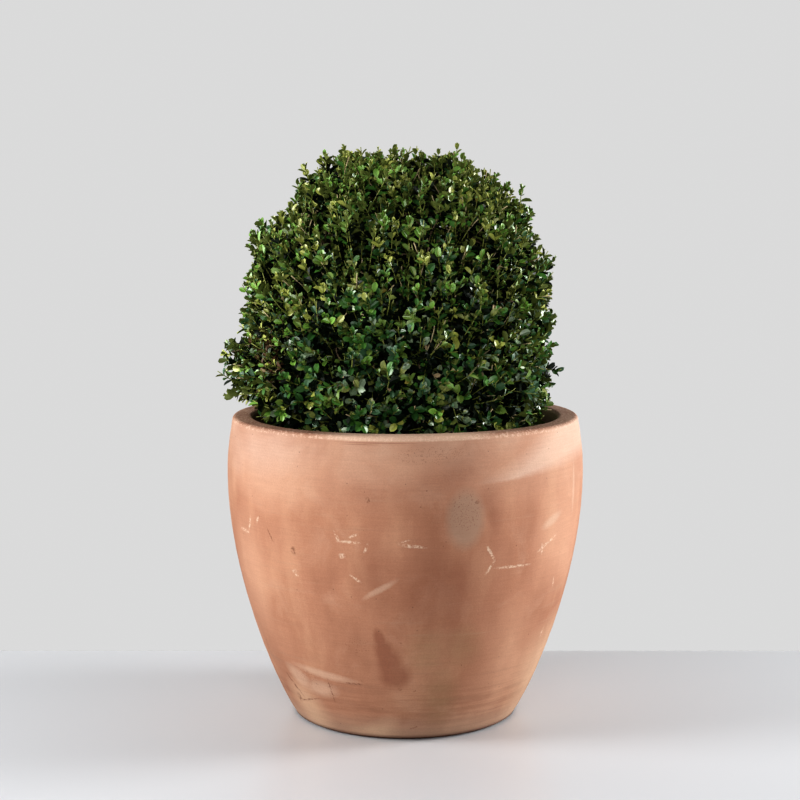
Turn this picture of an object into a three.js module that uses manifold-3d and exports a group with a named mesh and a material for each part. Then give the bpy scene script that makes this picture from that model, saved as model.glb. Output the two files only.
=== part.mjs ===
// Box topiary ball in a terracotta pot. Millimetres, +Z up, the front is -Y.
//
// A common box (Buxus sempervirens), clipped to a ball of about 50 cm, grows in a thrown terracotta pot
// 55 cm across. The origin is the centre of the pot's flat underside, which everything stands on.
//
//   pot      thick-walled, widest below its rounded rim, filled with
//   compost  whose crumbly top lies a little under the rim, and in which stands
//   trunk    a short stem with a flared foot, which carries
//   boughs   five that leave its sides and one leader on top of it, each reaching into
//   foliage  its own clipped mass: a dense core on a stem, and twigs and leaves that stand out of it.

import * as THREE from 'three';
import { mergeVertices } from 'three/addons/utils/BufferGeometryUtils.js';
import Module from 'manifold-3d';

const wasm = await Module();
wasm.setup();

// ------------------------------------------------------------------------------ driving dimensions

const CLEARANCE = 0.3;            // between two pieces that rest on or meet each other
const SMALLEST_EDGE = 0.02;       // shorter edges than this are closed up after a join
const WELD_DISTANCE = 0.001;      // corners this close are one corner

const POT_HEIGHT = 466;
const POT_BASE_RADIUS = 173.5;
const POT_FOOT_ROUNDING = 6;
const POT_BELLY_RADIUS = 275;     // its widest, at
const POT_BELLY_HEIGHT = 377;
const POT_RIM_RADIUS = 267;
const POT_RIM_ROUNDING = 6;
const POT_WALL = 32;
const POT_FLOOR = 34;             // thickness of its bottom
const POT_FLARE_ANGLE = 54.5;     // degrees from level, at which the flank leaves the foot, and
const POT_FLARE_HANDLE = 50;      // how strongly it does
const POT_FLANK_HANDLE = 155;     // how far below the belly the flank straightens up
const POT_SHOULDER_HANDLE = 28;   // how far above the belly the shoulder starts to lean in
const POT_RIM_LEAN = 9;           // degrees that the shoulder leans in at the rim, and
const POT_RIM_HANDLE = 38;        // over which height
const POT_SIDES = 40;
const POT_FLANK_STEPS = 7;
const POT_SHOULDER_STEPS = 3;
const POT_ROUNDING_STEPS = 2;
const POT_FLOOR_CORNER = 14;      // how far in from the wall its floor is level
const INSIDE_FLANK_PLACES = [0.16, 0.36, 0.58, 0.8];  // shares of the way up, where the inside has a ring
const INSIDE_SHOULDER_PLACES = [0, 0.5, 1];

const COMPOST_TOP = 420;
const COMPOST_LUMP = 4;           // height of the crumbs and hollows on top
const COMPOST_LUMP_SPANS = [19, 23];  // how long they are along X and along Y, each over one radian
const COMPOST_LUMP_SHIFT = 2;     // radians
const COMPOST_RINGS = [0.8, 0.52, 0.28];  // shares of its radius; it is level inside the last

const TRUNK_RADIUS = 17;
const TRUNK_FLARE = 10;           // how far the root flare adds to the radius at the foot
const TRUNK_FLARE_POWER = 5;      // how fast the flare dies out upward
const TRUNK_FLUTES = 5;
const TRUNK_FLUTE_DEPTH = 0.3;    // of the flare
const TRUNK_TAPER = 2.5;          // how much thinner it is at the top
const TRUNK_FOOT_HANDLE = 34;     // it stands upright over about this height, and
const TRUNK_TOP_HANDLE = 30;      // again over this height below its top
const TRUNK_TOP = new THREE.Vector3(-6, 4, 508);
const TRUNK_SIDES = 12;
const TRUNK_STEPS = 7;

const BOUGH_RADIUS = 9;
const BOUGH_TIP_RADIUS = 6;
const BOUGH_SHARE = 0.43;         // how far out from the crown's centre a bough ends, of the crown's reach
const BOUGH_BEND_PLACE = 0.45;    // share of the way along, at which a bough bends
const BOUGH_BEND_RISE = 30;       // how far it has risen there
const LEADER_HANDLE = 60;         // the leader runs upright over about this height at both ends
const BOUGH_SIDES = 7;
const BOUGH_STEPS = 6;

const CROWN_CENTRE = new THREE.Vector3(-9, 0, 625);
const CROWN_RADIUS = 236;
const CROWN_RISE = 246;           // from its centre up to its clipped top
const CROWN_DROP = 215;           // from its centre down to its hidden foot
const CROWN_TOP_POWER = 2.2;      // 2 would be an ellipse, more is squarer
const CROWN_FOOT_POWER = 5;
const CROWN_WAVE = 5;             // height of the swells that clipping by hand leaves
const CROWN_SWELLS = new THREE.Vector3(6, 5, 4);  // how closely they follow each other, in radians
const CROWN_SWELL_SHIFT = 2;
const CROWN_SIDES = 24;
const CROWN_STEPS = 14;
const CORE_SHARE = 0.84;          // the dense core's size, of the crown's
const HOLLOW_SHARE = 0.5;         // the bare inside's size, of the crown's
const HOLLOW_FOOT_RADIUS = 62;
const HOLLOW_WIDEST = [-20, 40];  // heights from the crown's centre, between which it is widest
const HOLLOW_SHOULDER = new THREE.Vector2(0.7, 0.85);  // shares of its radius and rise, where it rounds over
const HOLLOW_SIDES = 16;
const MASS_GAP = 1;               // between two neighbouring masses

const SHOOT_COUNT = 88;           // directions dealt over a whole sphere round the crown's centre
const LOWEST_SHOOT = -42;         // degrees below level
const TWIG_RADIUS = 3.6;
const TWIG_TIP_RADIUS = 2.2;
const TWIG_SIDES = 3;
const TWIG_STEPS = 4;
const TWIG_BEND_PLACE = 0.6;      // share of its reach, at which a twig bends towards its aim
const STEM_SHARE = 0.64;          // where a mass's stem ends, of the crown's reach
const STEM_BEND_PLACE = 0.5;
const STEM_SIDES = 6;
const STEM_STEPS = 4;
const FROM_POT = 3;               // twigs and leaves keep this far from the pot, and
const FROM_COMPOST = 8;           // this far from the compost
const LEAF_LENGTH = 54;
const LEAF_WIDTH = 31;
const LEAF_THICKNESS = 2.6;
const LEAF_SPREAD = 66;           // degrees between a side leaf and its twig, within
const LEAF_SPREAD_RANGE = 14;
const LEAF_TURN_RANGE = 0.5;      // radians, within which a leaf is turned round its twig
const LEAF_SMALLEST = 0.85;       // of the full size
const LEAF_SIZE_RANGE = 0.2;
const LEAF_ROOTS = [14, 10, 6, 2];  // how far below the twig's tip its side leaves grow from its middle
const TIP_LEAF_SIZE = 0.55;       // of a side leaf's
const TIP_LEAF_SINK = 4;          // how deep the last leaf's root sits in the twig's tip
const SEED = 2026;

// Each mass of foliage and its bough, by the direction from the crown's centre in which they lie, in
// degrees, and by the height at which the bough leaves the trunk. Azimuth 0 is +X, 90 is +Y.
const MASSES = [
  { name: 'top', azimuth: 40, elevation: 86, forkHeight: TRUNK_TOP.z },
  { name: 'front_left', azimuth: 232, elevation: -2, forkHeight: 454 },
  { name: 'front_right', azimuth: 308, elevation: 3, forkHeight: 474 },
  { name: 'right', azimuth: 20, elevation: 0, forkHeight: 456 },
  { name: 'back', azimuth: 92, elevation: 4, forkHeight: 475 },
  { name: 'left', azimuth: 165, elevation: -3, forkHeight: 464 },
];

// Shoots that have grown out past the clipped surface since the last clip, most of them low on the left
// side: the direction, and how far past the surface each reaches.
const STRAY_SHOOTS = [
  { azimuth: 180, elevation: -14, past: 50 },
  { azimuth: 186, elevation: -5, past: 26 },
  { azimuth: 176, elevation: -21, past: 44 },
  { azimuth: 172, elevation: -2, past: 14 },
  { azimuth: 191, elevation: -18, past: 36 },
  { azimuth: 182, elevation: -26, past: 50 },
  { azimuth: 181, elevation: 28, past: 22 },
  { azimuth: 233, elevation: 62, past: 12 },
  { azimuth: 176, elevation: 8, past: 12 },
];

// ------------------------------------------------------------------------------- materials

const terracotta = new THREE.MeshStandardMaterial({ color: 0xb97a5c, roughness: 0.85, metalness: 0 });
const darkCompost = new THREE.MeshStandardMaterial({ color: 0x2c221b, roughness: 1, metalness: 0 });
const bark = new THREE.MeshStandardMaterial({ color: 0x8b7559, roughness: 0.9, metalness: 0 });
const boxLeaf = new THREE.MeshStandardMaterial({ color: 0x32512b, roughness: 0.45, metalness: 0 });

// ------------------------------------------------------------------------------- helpers

function sealed(geometry) {
  geometry.deleteAttribute('normal');
  geometry.deleteAttribute('uv');
  return mergeVertices(geometry, WELD_DISTANCE);
}

function solidOf(geometry) {
  const closed = sealed(geometry);
  const vertProperties = Float32Array.from(closed.attributes.position.array);
  const triVerts = Uint32Array.from(closed.index.array);
  return new wasm.Manifold(new wasm.Mesh({ numProp: 3, vertProperties, triVerts }));
}

function geometryOf(solid) {
  const { vertProperties, triVerts } = solid.simplify(SMALLEST_EDGE).getMesh();
  const geometry = new THREE.BufferGeometry();
  geometry.setAttribute('position', new THREE.BufferAttribute(vertProperties, 3));
  geometry.setIndex(new THREE.BufferAttribute(triVerts, 1));
  geometry.computeVertexNormals();
  return geometry;
}

function piece(name, geometry, material) {
  const mesh = new THREE.Mesh(geometry, material);
  mesh.name = name;
  return mesh;
}

// Moves each vertex of a geometry by a function that changes the point it is given.
function reshape(geometry, change) {
  const position = geometry.attributes.position;
  const point = new THREE.Vector3();
  for (let i = 0; i < position.count; i += 1) {
    change(point.fromBufferAttribute(position, i));
    position.setXYZ(i, point.x, point.y, point.z);
  }
  return geometry;
}

// A profile of radius and height, turned round +Z.
function turned(profile) {
  return new THREE.LatheGeometry(profile, POT_SIDES).rotateX(Math.PI / 2);
}

// A closed limb along a curve: a cylinder's rings carried onto the curve. radiusAt takes the share of
// the way along and the angle round the limb.
function limb(path, radiusAt, sides, steps) {
  const rings = path.getSpacedPoints(steps);
  const { normals, binormals } = path.computeFrenetFrames(steps, false);
  return reshape(new THREE.CylinderGeometry(1, 1, 1, sides, steps), (point) => {
    const ring = Math.round((point.y + 0.5) * steps);
    const radius = radiusAt(ring / steps, Math.atan2(point.z, point.x));
    const across = normals[ring].clone().multiplyScalar(point.x * radius);
    const over = binormals[ring].clone().multiplyScalar(-point.z * radius);
    point.copy(rings[ring]).add(across).add(over);
  });
}

// A point on the straight steps that a limb of that many steps makes of a curve.
function pointOnSteps(path, share, steps) {
  const rings = path.getSpacedPoints(steps);
  const step = Math.min(Math.floor(share * steps), steps - 1);
  return rings[step].clone().lerp(rings[step + 1], share * steps - step);
}

function taper(from, to) {
  return (along) => THREE.MathUtils.lerp(from, to, along);
}

function aimAt(azimuth, elevation) {
  const turn = THREE.MathUtils.degToRad(azimuth);
  const lift = THREE.MathUtils.degToRad(elevation);
  return new THREE.Vector3(Math.cos(turn) * Math.cos(lift), Math.sin(turn) * Math.cos(lift), Math.sin(lift));
}

// Park and Miller's generator: one seed always grows the same bush.
function seededRandom(seed) {
  const multiplier = 16807;
  const modulus = 2147483647;
  let state = seed;
  return () => {
    state = (state * multiplier) % modulus;
    return state / modulus;
  };
}

// ------------------------------------------------------------------------------- pot

// The pot's outside above its foot, as two curves of radius and height that meet at the belly.
function potOutside() {
  const flare = THREE.MathUtils.degToRad(POT_FLARE_ANGLE);
  const lean = THREE.MathUtils.degToRad(POT_RIM_LEAN);
  const foot = new THREE.Vector2(POT_BASE_RADIUS, POT_FOOT_ROUNDING);
  const belly = new THREE.Vector2(POT_BELLY_RADIUS, POT_BELLY_HEIGHT);
  const rim = new THREE.Vector2(POT_RIM_RADIUS, POT_HEIGHT - POT_RIM_ROUNDING);
  const outAndUp = new THREE.Vector2(Math.cos(flare), Math.sin(flare));
  const outAndDown = new THREE.Vector2(Math.sin(lean), -Math.cos(lean));
  const flank = new THREE.CubicBezierCurve(
    foot,
    foot.clone().addScaledVector(outAndUp, POT_FLARE_HANDLE),
    belly.clone().setY(POT_BELLY_HEIGHT - POT_FLANK_HANDLE),
    belly,
  );
  const shoulder = new THREE.CubicBezierCurve(
    belly,
    belly.clone().setY(POT_BELLY_HEIGHT + POT_SHOULDER_HANDLE),
    rim.clone().addScaledVector(outAndDown, POT_RIM_HANDLE),
    rim,
  );
  return { flank, shoulder };
}

// The inside face of a wall of the given thickness, from the pot's floor up to its rim.
function potInside(thickness) {
  const { flank, shoulder } = potOutside();
  const places = [
    ...INSIDE_FLANK_PLACES.map((along) => [flank, along]),
    ...INSIDE_SHOULDER_PLACES.map((along) => [shoulder, along]),
  ];
  return places.map(([curve, along]) => {
    const inward = curve.getTangent(along).rotateAround(new THREE.Vector2(), Math.PI / 2);
    return curve.getPoint(along).addScaledVector(inward, thickness);
  });
}

function quarterRound(centre, radius, fromAngle) {
  return Array.from({ length: POT_ROUNDING_STEPS + 1 }, (_, i) => {
    const angle = THREE.MathUtils.degToRad(fromAngle + (90 * i) / POT_ROUNDING_STEPS);
    return new THREE.Vector2(Math.cos(angle), Math.sin(angle)).multiplyScalar(radius).add(centre);
  });
}

function makePot() {
  const { flank, shoulder } = potOutside();
  const inside = potInside(POT_WALL);
  const rimTop = inside.pop();
  const rimHeight = POT_HEIGHT - POT_RIM_ROUNDING;
  const footCentre = new THREE.Vector2(POT_BASE_RADIUS - POT_FOOT_ROUNDING, POT_FOOT_ROUNDING);
  const outerCentre = new THREE.Vector2(POT_RIM_RADIUS - POT_RIM_ROUNDING, rimHeight);
  const innerCentre = new THREE.Vector2(rimTop.x + POT_RIM_ROUNDING, rimHeight);
  const profile = [
    new THREE.Vector2(0, 0),
    ...quarterRound(footCentre, POT_FOOT_ROUNDING, -90),
    ...flank.getPoints(POT_FLANK_STEPS).slice(1),
    ...shoulder.getPoints(POT_SHOULDER_STEPS).slice(1, -1),
    ...quarterRound(outerCentre, POT_RIM_ROUNDING, 0),
    ...quarterRound(innerCentre, POT_RIM_ROUNDING, 90),
    ...inside.reverse(),
    new THREE.Vector2(inside.at(-1).x - POT_FLOOR_CORNER, POT_FLOOR),
    new THREE.Vector2(0, POT_FLOOR),
  ];
  return piece('pot', turned(profile), terracotta);
}

// ------------------------------------------------------------------------------- compost

// Fills the pot clear of its wall. Its top is lumpy, but level where the trunk stands.
function makeCompost() {
  const wall = potInside(POT_WALL + CLEARANCE);
  const below = wall.filter((point) => point.y < COMPOST_TOP);
  const above = wall[below.length];
  const last = below.at(-1);
  const edge = last.clone().lerp(above, (COMPOST_TOP - last.y) / (above.y - last.y));
  const rings = COMPOST_RINGS.map((share) => new THREE.Vector2(edge.x * share, COMPOST_TOP));
  const profile = [
    new THREE.Vector2(0, POT_FLOOR + CLEARANCE),
    new THREE.Vector2(below[0].x - POT_FLOOR_CORNER, POT_FLOOR + CLEARANCE),
    ...below,
    edge,
    ...rings,
    new THREE.Vector2(0, COMPOST_TOP),
  ];
  const levelRadius = rings.at(-1).x;
  const [spanX, spanY] = COMPOST_LUMP_SPANS;
  const geometry = reshape(turned(profile), (point) => {
    const out = Math.hypot(point.x, point.y);
    if (Math.abs(point.z - COMPOST_TOP) < 1 && out > levelRadius + 1 && out < edge.x - 1) {
      const lump = Math.sin(point.x / spanX + COMPOST_LUMP_SHIFT) * Math.cos(point.y / spanY);
      point.z += COMPOST_LUMP * lump;
    }
  });
  return piece('compost', geometry, darkCompost);
}

// ------------------------------------------------------------------------------- trunk and boughs

const trunkPath = new THREE.CubicBezierCurve3(
  new THREE.Vector3(0, 0, COMPOST_TOP + CLEARANCE),
  new THREE.Vector3(0, 0, COMPOST_TOP + TRUNK_FOOT_HANDLE),
  TRUNK_TOP.clone().setZ(TRUNK_TOP.z - TRUNK_TOP_HANDLE),
  TRUNK_TOP,
);

// The trunk, grown by the given amount all over: its radius narrows upward from a fluted root flare.
function trunkGeometry(grown) {
  const radiusAt = (along, angle) => {
    const flutes = 1 + TRUNK_FLUTE_DEPTH * Math.cos(TRUNK_FLUTES * angle);
    const flare = TRUNK_FLARE * (1 - along) ** TRUNK_FLARE_POWER * flutes;
    return TRUNK_RADIUS - TRUNK_TAPER * along + flare + grown;
  };
  return limb(trunkPath, radiusAt, TRUNK_SIDES, TRUNK_STEPS);
}

function makeTrunk() {
  return piece('trunk', trunkGeometry(0), bark);
}

// A bough's curve from the trunk's axis, outward and up to where it enters its mass. The leader starts
// just above the trunk's cut top instead.
function boughPath(mass) {
  const aim = aimAt(mass.azimuth, mass.elevation);
  const end = CROWN_CENTRE.clone().addScaledVector(aim, BOUGH_SHARE * crownReach(aim));
  if (mass.forkHeight === TRUNK_TOP.z) {
    const foot = TRUNK_TOP.clone().setZ(TRUNK_TOP.z + CLEARANCE);
    return new THREE.CubicBezierCurve3(
      foot,
      foot.clone().setZ(foot.z + LEADER_HANDLE),
      end.clone().setZ(end.z - LEADER_HANDLE),
      end,
    );
  }
  const foot = trunkPath.getPoint((mass.forkHeight - COMPOST_TOP) / (TRUNK_TOP.z - COMPOST_TOP));
  const bend = foot.clone().lerp(end, BOUGH_BEND_PLACE);
  bend.z = foot.z + BOUGH_BEND_RISE;
  return new THREE.QuadraticBezierCurve3(foot, bend, end);
}

function makeBough(mass) {
  const radiusAt = taper(BOUGH_RADIUS, BOUGH_TIP_RADIUS);
  const geometry = limb(boughPath(mass), radiusAt, BOUGH_SIDES, BOUGH_STEPS);
  const name = `bough_${mass.name}`;
  if (mass.forkHeight === TRUNK_TOP.z) {
    return piece(name, geometry, bark);
  }
  const fitted = solidOf(geometry).subtract(solidOf(trunkGeometry(CLEARANCE)));
  return piece(name, geometryOf(fitted), bark);
}

// ------------------------------------------------------------------------------- crown

// How far the clipped surface lies from the crown's centre, in a given direction.
function crownReach(aim) {
  const upward = aim.z > 0;
  const power = upward ? CROWN_TOP_POWER : CROWN_FOOT_POWER;
  const across = Math.hypot(aim.x, aim.y) / CROWN_RADIUS;
  const along = Math.abs(aim.z) / (upward ? CROWN_RISE : CROWN_DROP);
  const swells = CROWN_SWELLS.clone().multiply(aim);
  const swell = CROWN_WAVE * Math.sin(swells.x + CROWN_SWELL_SHIFT) * Math.sin(swells.y + swells.z);
  return (across ** power + along ** power) ** (-1 / power) + swell * (1 - Math.abs(aim.z));
}

// The crown's form at a share of its size.
function crownForm(share) {
  const ball = new THREE.SphereGeometry(1, CROWN_SIDES, CROWN_STEPS).rotateX(Math.PI / 2);
  return reshape(ball, (point) => {
    const aim = point.clone().normalize();
    point.copy(CROWN_CENTRE).addScaledVector(aim, share * crownReach(aim));
  });
}

// The bare, shaded inside of the bush, open at its foot, where the trunk and boughs stand.
function innerSpace() {
  const { x, z } = CROWN_CENTRE;
  const widest = HOLLOW_SHARE * CROWN_RADIUS;
  const rise = HOLLOW_SHARE * CROWN_RISE;
  const profile = [
    new THREE.Vector2(0, COMPOST_TOP),
    new THREE.Vector2(HOLLOW_FOOT_RADIUS, COMPOST_TOP),
    ...HOLLOW_WIDEST.map((height) => new THREE.Vector2(widest, z + height)),
    new THREE.Vector2(HOLLOW_SHOULDER.x * widest, z + HOLLOW_SHOULDER.y * rise),
    new THREE.Vector2(0, z + rise),
  ];
  return new THREE.LatheGeometry(profile, HOLLOW_SIDES).rotateX(Math.PI / 2).translate(x, 0, 0);
}

// The planes halfway between a mass and each of its neighbours. A mass keeps to the near side of them.
function boundaries(mass) {
  const aim = aimAt(mass.azimuth, mass.elevation);
  return MASSES.filter((other) => other !== mass).map((other) => {
    const normal = aim.clone().sub(aimAt(other.azimuth, other.elevation)).normalize();
    return { normal, offset: normal.dot(CROWN_CENTRE) + MASS_GAP / 2 };
  });
}

function makeCore(mass) {
  const shell = solidOf(crownForm(CORE_SHARE)).subtract(solidOf(innerSpace()));
  return boundaries(mass).reduce(
    (rest, { normal, offset }) => rest.trimByPlane(normal.toArray(), offset),
    shell,
  );
}

// Directions spread evenly over a sphere, each turned by the golden angle from the last, down to the
// lowest shoot.
function shootAims() {
  const goldenAngle = Math.PI * (3 - Math.sqrt(5));
  const lowest = Math.sin(THREE.MathUtils.degToRad(LOWEST_SHOOT));
  const aims = [];
  for (let i = 0; i < SHOOT_COUNT; i += 1) {
    const height = 1 - (2 * i + 1) / SHOOT_COUNT;
    const out = Math.sqrt(1 - height * height);
    if (height > lowest) {
      aims.push(new THREE.Vector3(out * Math.cos(i * goldenAngle), out * Math.sin(i * goldenAngle), height));
    }
  }
  return aims;
}

// All shoots of the crown: where each aims, and how far out it reaches.
function shoots() {
  const clipped = shootAims().map((aim) => ({ aim, reach: crownReach(aim) }));
  const strays = STRAY_SHOOTS.map(({ azimuth, elevation, past }) => {
    const aim = aimAt(azimuth, elevation);
    return { aim, reach: crownReach(aim) + past };
  });
  return [...clipped, ...strays];
}

function nearestMass(aim) {
  const closeness = (mass) => aim.dot(aimAt(mass.azimuth, mass.elevation));
  return MASSES.reduce((best, mass) => (closeness(mass) > closeness(best) ? mass : best));
}

// Whether a point lies in a mass's own space, clear of its neighbours, the compost and the pot.
function inOwnSpace(point, planes) {
  const clearOfNeighbours = planes.every(({ normal, offset }) => normal.dot(point) > offset);
  const rimInside = POT_RIM_RADIUS - POT_WALL - FROM_POT;
  const clearOfPot = point.z > POT_HEIGHT + FROM_POT || Math.hypot(point.x, point.y) < rimInside;
  return clearOfNeighbours && clearOfPot && point.z > COMPOST_TOP + FROM_COMPOST;
}

// A twig from the end of the mass's stem, bending to come out of the core straight towards its aim.
function twigPath(stemEnd, shoot) {
  const under = CROWN_CENTRE.clone().addScaledVector(shoot.aim, TWIG_BEND_PLACE * shoot.reach);
  const tipBelow = TIP_LEAF_SIZE * LEAF_LENGTH - TIP_LEAF_SINK;
  const tip = CROWN_CENTRE.clone().addScaledVector(shoot.aim, shoot.reach - tipBelow);
  return new THREE.QuadraticBezierCurve3(stemEnd, under, tip);
}

// A pointed leaf, thickest along its middle, that grows from a root point in a direction, with its face
// turned towards another.
function leafGeometry(root, along, facing, size) {
  const across = new THREE.Vector3().crossVectors(facing, along).normalize();
  const up = new THREE.Vector3().crossVectors(across, along);
  const middle = root.clone().addScaledVector(along, (size * LEAF_LENGTH) / 2);
  const frame = new THREE.Matrix4().makeBasis(
    across.multiplyScalar((size * LEAF_WIDTH) / 2),
    along.clone().multiplyScalar((size * LEAF_LENGTH) / 2),
    up.multiplyScalar(LEAF_THICKNESS / 2),
  );
  return new THREE.OctahedronGeometry(1).applyMatrix4(frame.setPosition(middle));
}

// The leaves of one twig: pairs on opposite sides, each pair turned a quarter from the last, and one
// that goes on from the tip.
function leavesOf(path, random) {
  const length = path.getLength();
  const firstTurn = 2 * Math.PI * random();
  const leaves = LEAF_ROOTS.map((below, i) => {
    const place = 1 - below / length;
    const along = path.getTangentAt(place);
    const quarterTurns = 2 * i + Math.floor(i / 2);
    const turn = firstTurn + (Math.PI / 2) * quarterTurns + LEAF_TURN_RANGE * (random() - 0.5);
    const out = new THREE.Vector3(0, 0, 1).cross(along).normalize().applyAxisAngle(along, turn);
    const spread = THREE.MathUtils.degToRad(LEAF_SPREAD + LEAF_SPREAD_RANGE * (random() - 0.5));
    const onward = along.clone().multiplyScalar(Math.cos(spread)).addScaledVector(out, Math.sin(spread));
    const size = LEAF_SMALLEST + LEAF_SIZE_RANGE * random();
    return leafGeometry(pointOnSteps(path, place, TWIG_STEPS), onward, along, size);
  });
  const along = path.getTangentAt(1);
  const facing = new THREE.Vector3(0, 0, 1).cross(along).applyAxisAngle(along, firstTurn);
  const root = path.getPointAt(1).addScaledVector(along, -TIP_LEAF_SINK);
  return [...leaves, leafGeometry(root, along, facing, TIP_LEAF_SIZE)];
}

function staysInside(geometry, planes) {
  const position = geometry.attributes.position;
  const point = new THREE.Vector3();
  return Array.from({ length: position.count }).every(
    (_, i) => inOwnSpace(point.fromBufferAttribute(position, i), planes),
  );
}

// A mass of foliage: a core on a stem that goes on from its bough, and the twigs that branch from the
// stem's end with their leaves. A twig or leaf that would leave the mass's own space is left out.
function makeFoliage(mass) {
  const planes = boundaries(mass);
  const random = seededRandom(SEED + MASSES.indexOf(mass));
  const bough = boughPath(mass);
  const onward = bough.getTangent(1);
  const aim = aimAt(mass.azimuth, mass.elevation);
  const stemStart = bough.getPoint(1).addScaledVector(onward, CLEARANCE);
  const stemEnd = CROWN_CENTRE.clone().addScaledVector(aim, STEM_SHARE * crownReach(aim));
  const bend = stemStart.clone().addScaledVector(onward, STEM_BEND_PLACE * stemStart.distanceTo(stemEnd));
  const stem = new THREE.QuadraticBezierCurve3(stemStart, bend, stemEnd);
  const grown = [limb(stem, taper(BOUGH_TIP_RADIUS, TWIG_RADIUS), STEM_SIDES, STEM_STEPS)];
  shoots().filter((shoot) => nearestMass(shoot.aim) === mass).forEach((shoot) => {
    const path = twigPath(stemEnd, shoot);
    const twig = limb(path, taper(TWIG_RADIUS, TWIG_TIP_RADIUS), TWIG_SIDES, TWIG_STEPS);
    if (staysInside(twig, planes)) {
      grown.push(twig, ...leavesOf(path, random).filter((leaf) => staysInside(leaf, planes)));
    }
  });
  const whole = wasm.Manifold.union([makeCore(mass), ...grown.map(solidOf)]);
  return piece(`foliage_${mass.name}`, geometryOf(whole), boxLeaf);
}

// ------------------------------------------------------------------------------- assembly

const group = new THREE.Group();
group.name = 'box_topiary_ball';
group.add(makePot(), makeCompost(), makeTrunk());
MASSES.forEach((mass) => group.add(makeBough(mass), makeFoliage(mass)));

export default group;
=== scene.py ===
# Box topiary ball in its terracotta pot. Metres, +Z up, the front is -Y. The origin is the centre of
# the pot's flat underside, which everything stands on.

import math

import bpy
import numpy as np
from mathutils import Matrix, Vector, kdtree, noise


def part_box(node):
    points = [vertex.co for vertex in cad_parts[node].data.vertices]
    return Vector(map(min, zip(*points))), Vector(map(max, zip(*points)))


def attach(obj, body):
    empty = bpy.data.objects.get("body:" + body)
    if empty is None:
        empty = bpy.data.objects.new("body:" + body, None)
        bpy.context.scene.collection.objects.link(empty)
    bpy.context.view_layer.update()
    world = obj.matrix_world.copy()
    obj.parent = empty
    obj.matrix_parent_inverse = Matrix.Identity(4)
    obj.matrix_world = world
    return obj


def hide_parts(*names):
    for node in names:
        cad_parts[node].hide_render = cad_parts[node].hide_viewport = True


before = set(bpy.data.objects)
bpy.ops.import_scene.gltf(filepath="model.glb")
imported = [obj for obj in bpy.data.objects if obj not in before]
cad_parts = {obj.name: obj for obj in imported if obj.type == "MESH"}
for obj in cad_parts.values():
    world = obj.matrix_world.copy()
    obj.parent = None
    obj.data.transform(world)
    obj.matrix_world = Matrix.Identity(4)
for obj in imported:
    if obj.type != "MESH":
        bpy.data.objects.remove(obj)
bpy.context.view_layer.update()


# ------------------------------------------------------------------------------------- camera
# A long lens, a little below the height of the crown's top, which looks slightly down on the pot's rim.

VIEW_DISTANCE = 2.61
VIEW_HEIGHT = 0.793
VIEW_SIDE = -0.0077
VIEW_TILT = 6.7          # degrees down
VIEW_LENS = 76.5

lens = bpy.data.cameras.new("camera")
lens.lens = VIEW_LENS
camera = bpy.data.objects.new("camera", lens)
camera.location = (VIEW_SIDE, -VIEW_DISTANCE, VIEW_HEIGHT)
camera.rotation_euler = (math.radians(90 - VIEW_TILT), 0, 0)
bpy.context.scene.collection.objects.link(camera)
bpy.context.scene.camera = camera


# ------------------------------------------------------------------------------------- pot
# A thick-walled pot thrown on the wheel from coarse red clay and fired low and unglazed. The hands
# leave faint rings and a slightly uneven rim, and lime, scuffs and scratches come with use.

POT_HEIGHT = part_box("pot")[1].z
BELLY_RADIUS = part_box("pot")[1].x
BELLY_HEIGHT = 0.377
FOOT_RADIUS = 0.1735
RIM_RADIUS = 0.267
EDGE_ROUNDING = 0.006
RIM_EDGE = POT_HEIGHT - EDGE_ROUNDING           # where the rim starts to round over
WALL = 0.032
FLOOR_THICKNESS = 0.034
FLOOR_COVE = 0.014              # between the inside's wall and its flat floor
FLOOR_SHARE = 0.16              # of the flank's curve, which the floor takes up inside
SHOULDER_START = 0.1            # of the shoulder's curve, where the inside's next row lies
FLARE = math.radians(54.5)      # from level, at which the flank leaves the foot
RIM_LEAN = math.radians(9)      # of the shoulder, inward
# How far the outside keeps its direction: out of the foot, below and above the belly, and below the rim.
FOOT_HOLD, LOW_BELLY_HOLD, HIGH_BELLY_HOLD, RIM_HOLD = 0.05, 0.155, 0.028, 0.038
# The foot is trimmed back underneath, where it meets the ground: how far up, how far in from its
# outside the trimming starts and ends, and the size of the corner that is left.
UNDERCUT, TRIM_START, TRIM_END, TRIM_CORNER = 0.003, 0.003, 0.008, 0.0008
AXIS_GAP = 0.0002               # what a turned surface leaves open round its axis
NEAR_AXIS = 0.05                # within which the unevenness fades out
UNDERSIDE_ROW = 0.1             # a row of points under the pot, half way out
RIM_TOP_ROWS = (0.35, 0.5, 0.65)        # rows along the rim's top, as shares of the wall's thickness
POT_SIDES, FLANK_ROWS, SHOULDER_ROWS, EDGE_ROWS = 288, 96, 24, 8
RING_DEPTH = 0.00035            # of the throwing rings
RINGS_PER_METRE = 75
RING_CHANGE = 0.9               # how much a ring changes on its way round
OUT_OF_ROUND = 0.0009
SWELLS_ROUND = [(2, 1, 0.6), (3, 0.6, 2)]       # waves round the pot: how many, how strong, where
RIM_UNEVENNESS = 0.0008
RIM_WAVES, RIM_WAVE_START = 2, 1
TRUE_BELOW, UNEVEN_ABOVE = 0.01, 0.04   # true up to the first height, and fully uneven from the second
# Small chips knocked out of the rim's outer edge: degrees round from the front, size, depth.
RIM_CHIPS = [(-47, 0.007, 0.0016), (-12, 0.005, 0.001), (16, 0.009, 0.0012), (44, 0.006, 0.0015),
             (71, 0.01, 0.002), (118, 0.007, 0.0015), (-104, 0.006, 0.0012), (-163, 0.009, 0.0018)]


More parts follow.
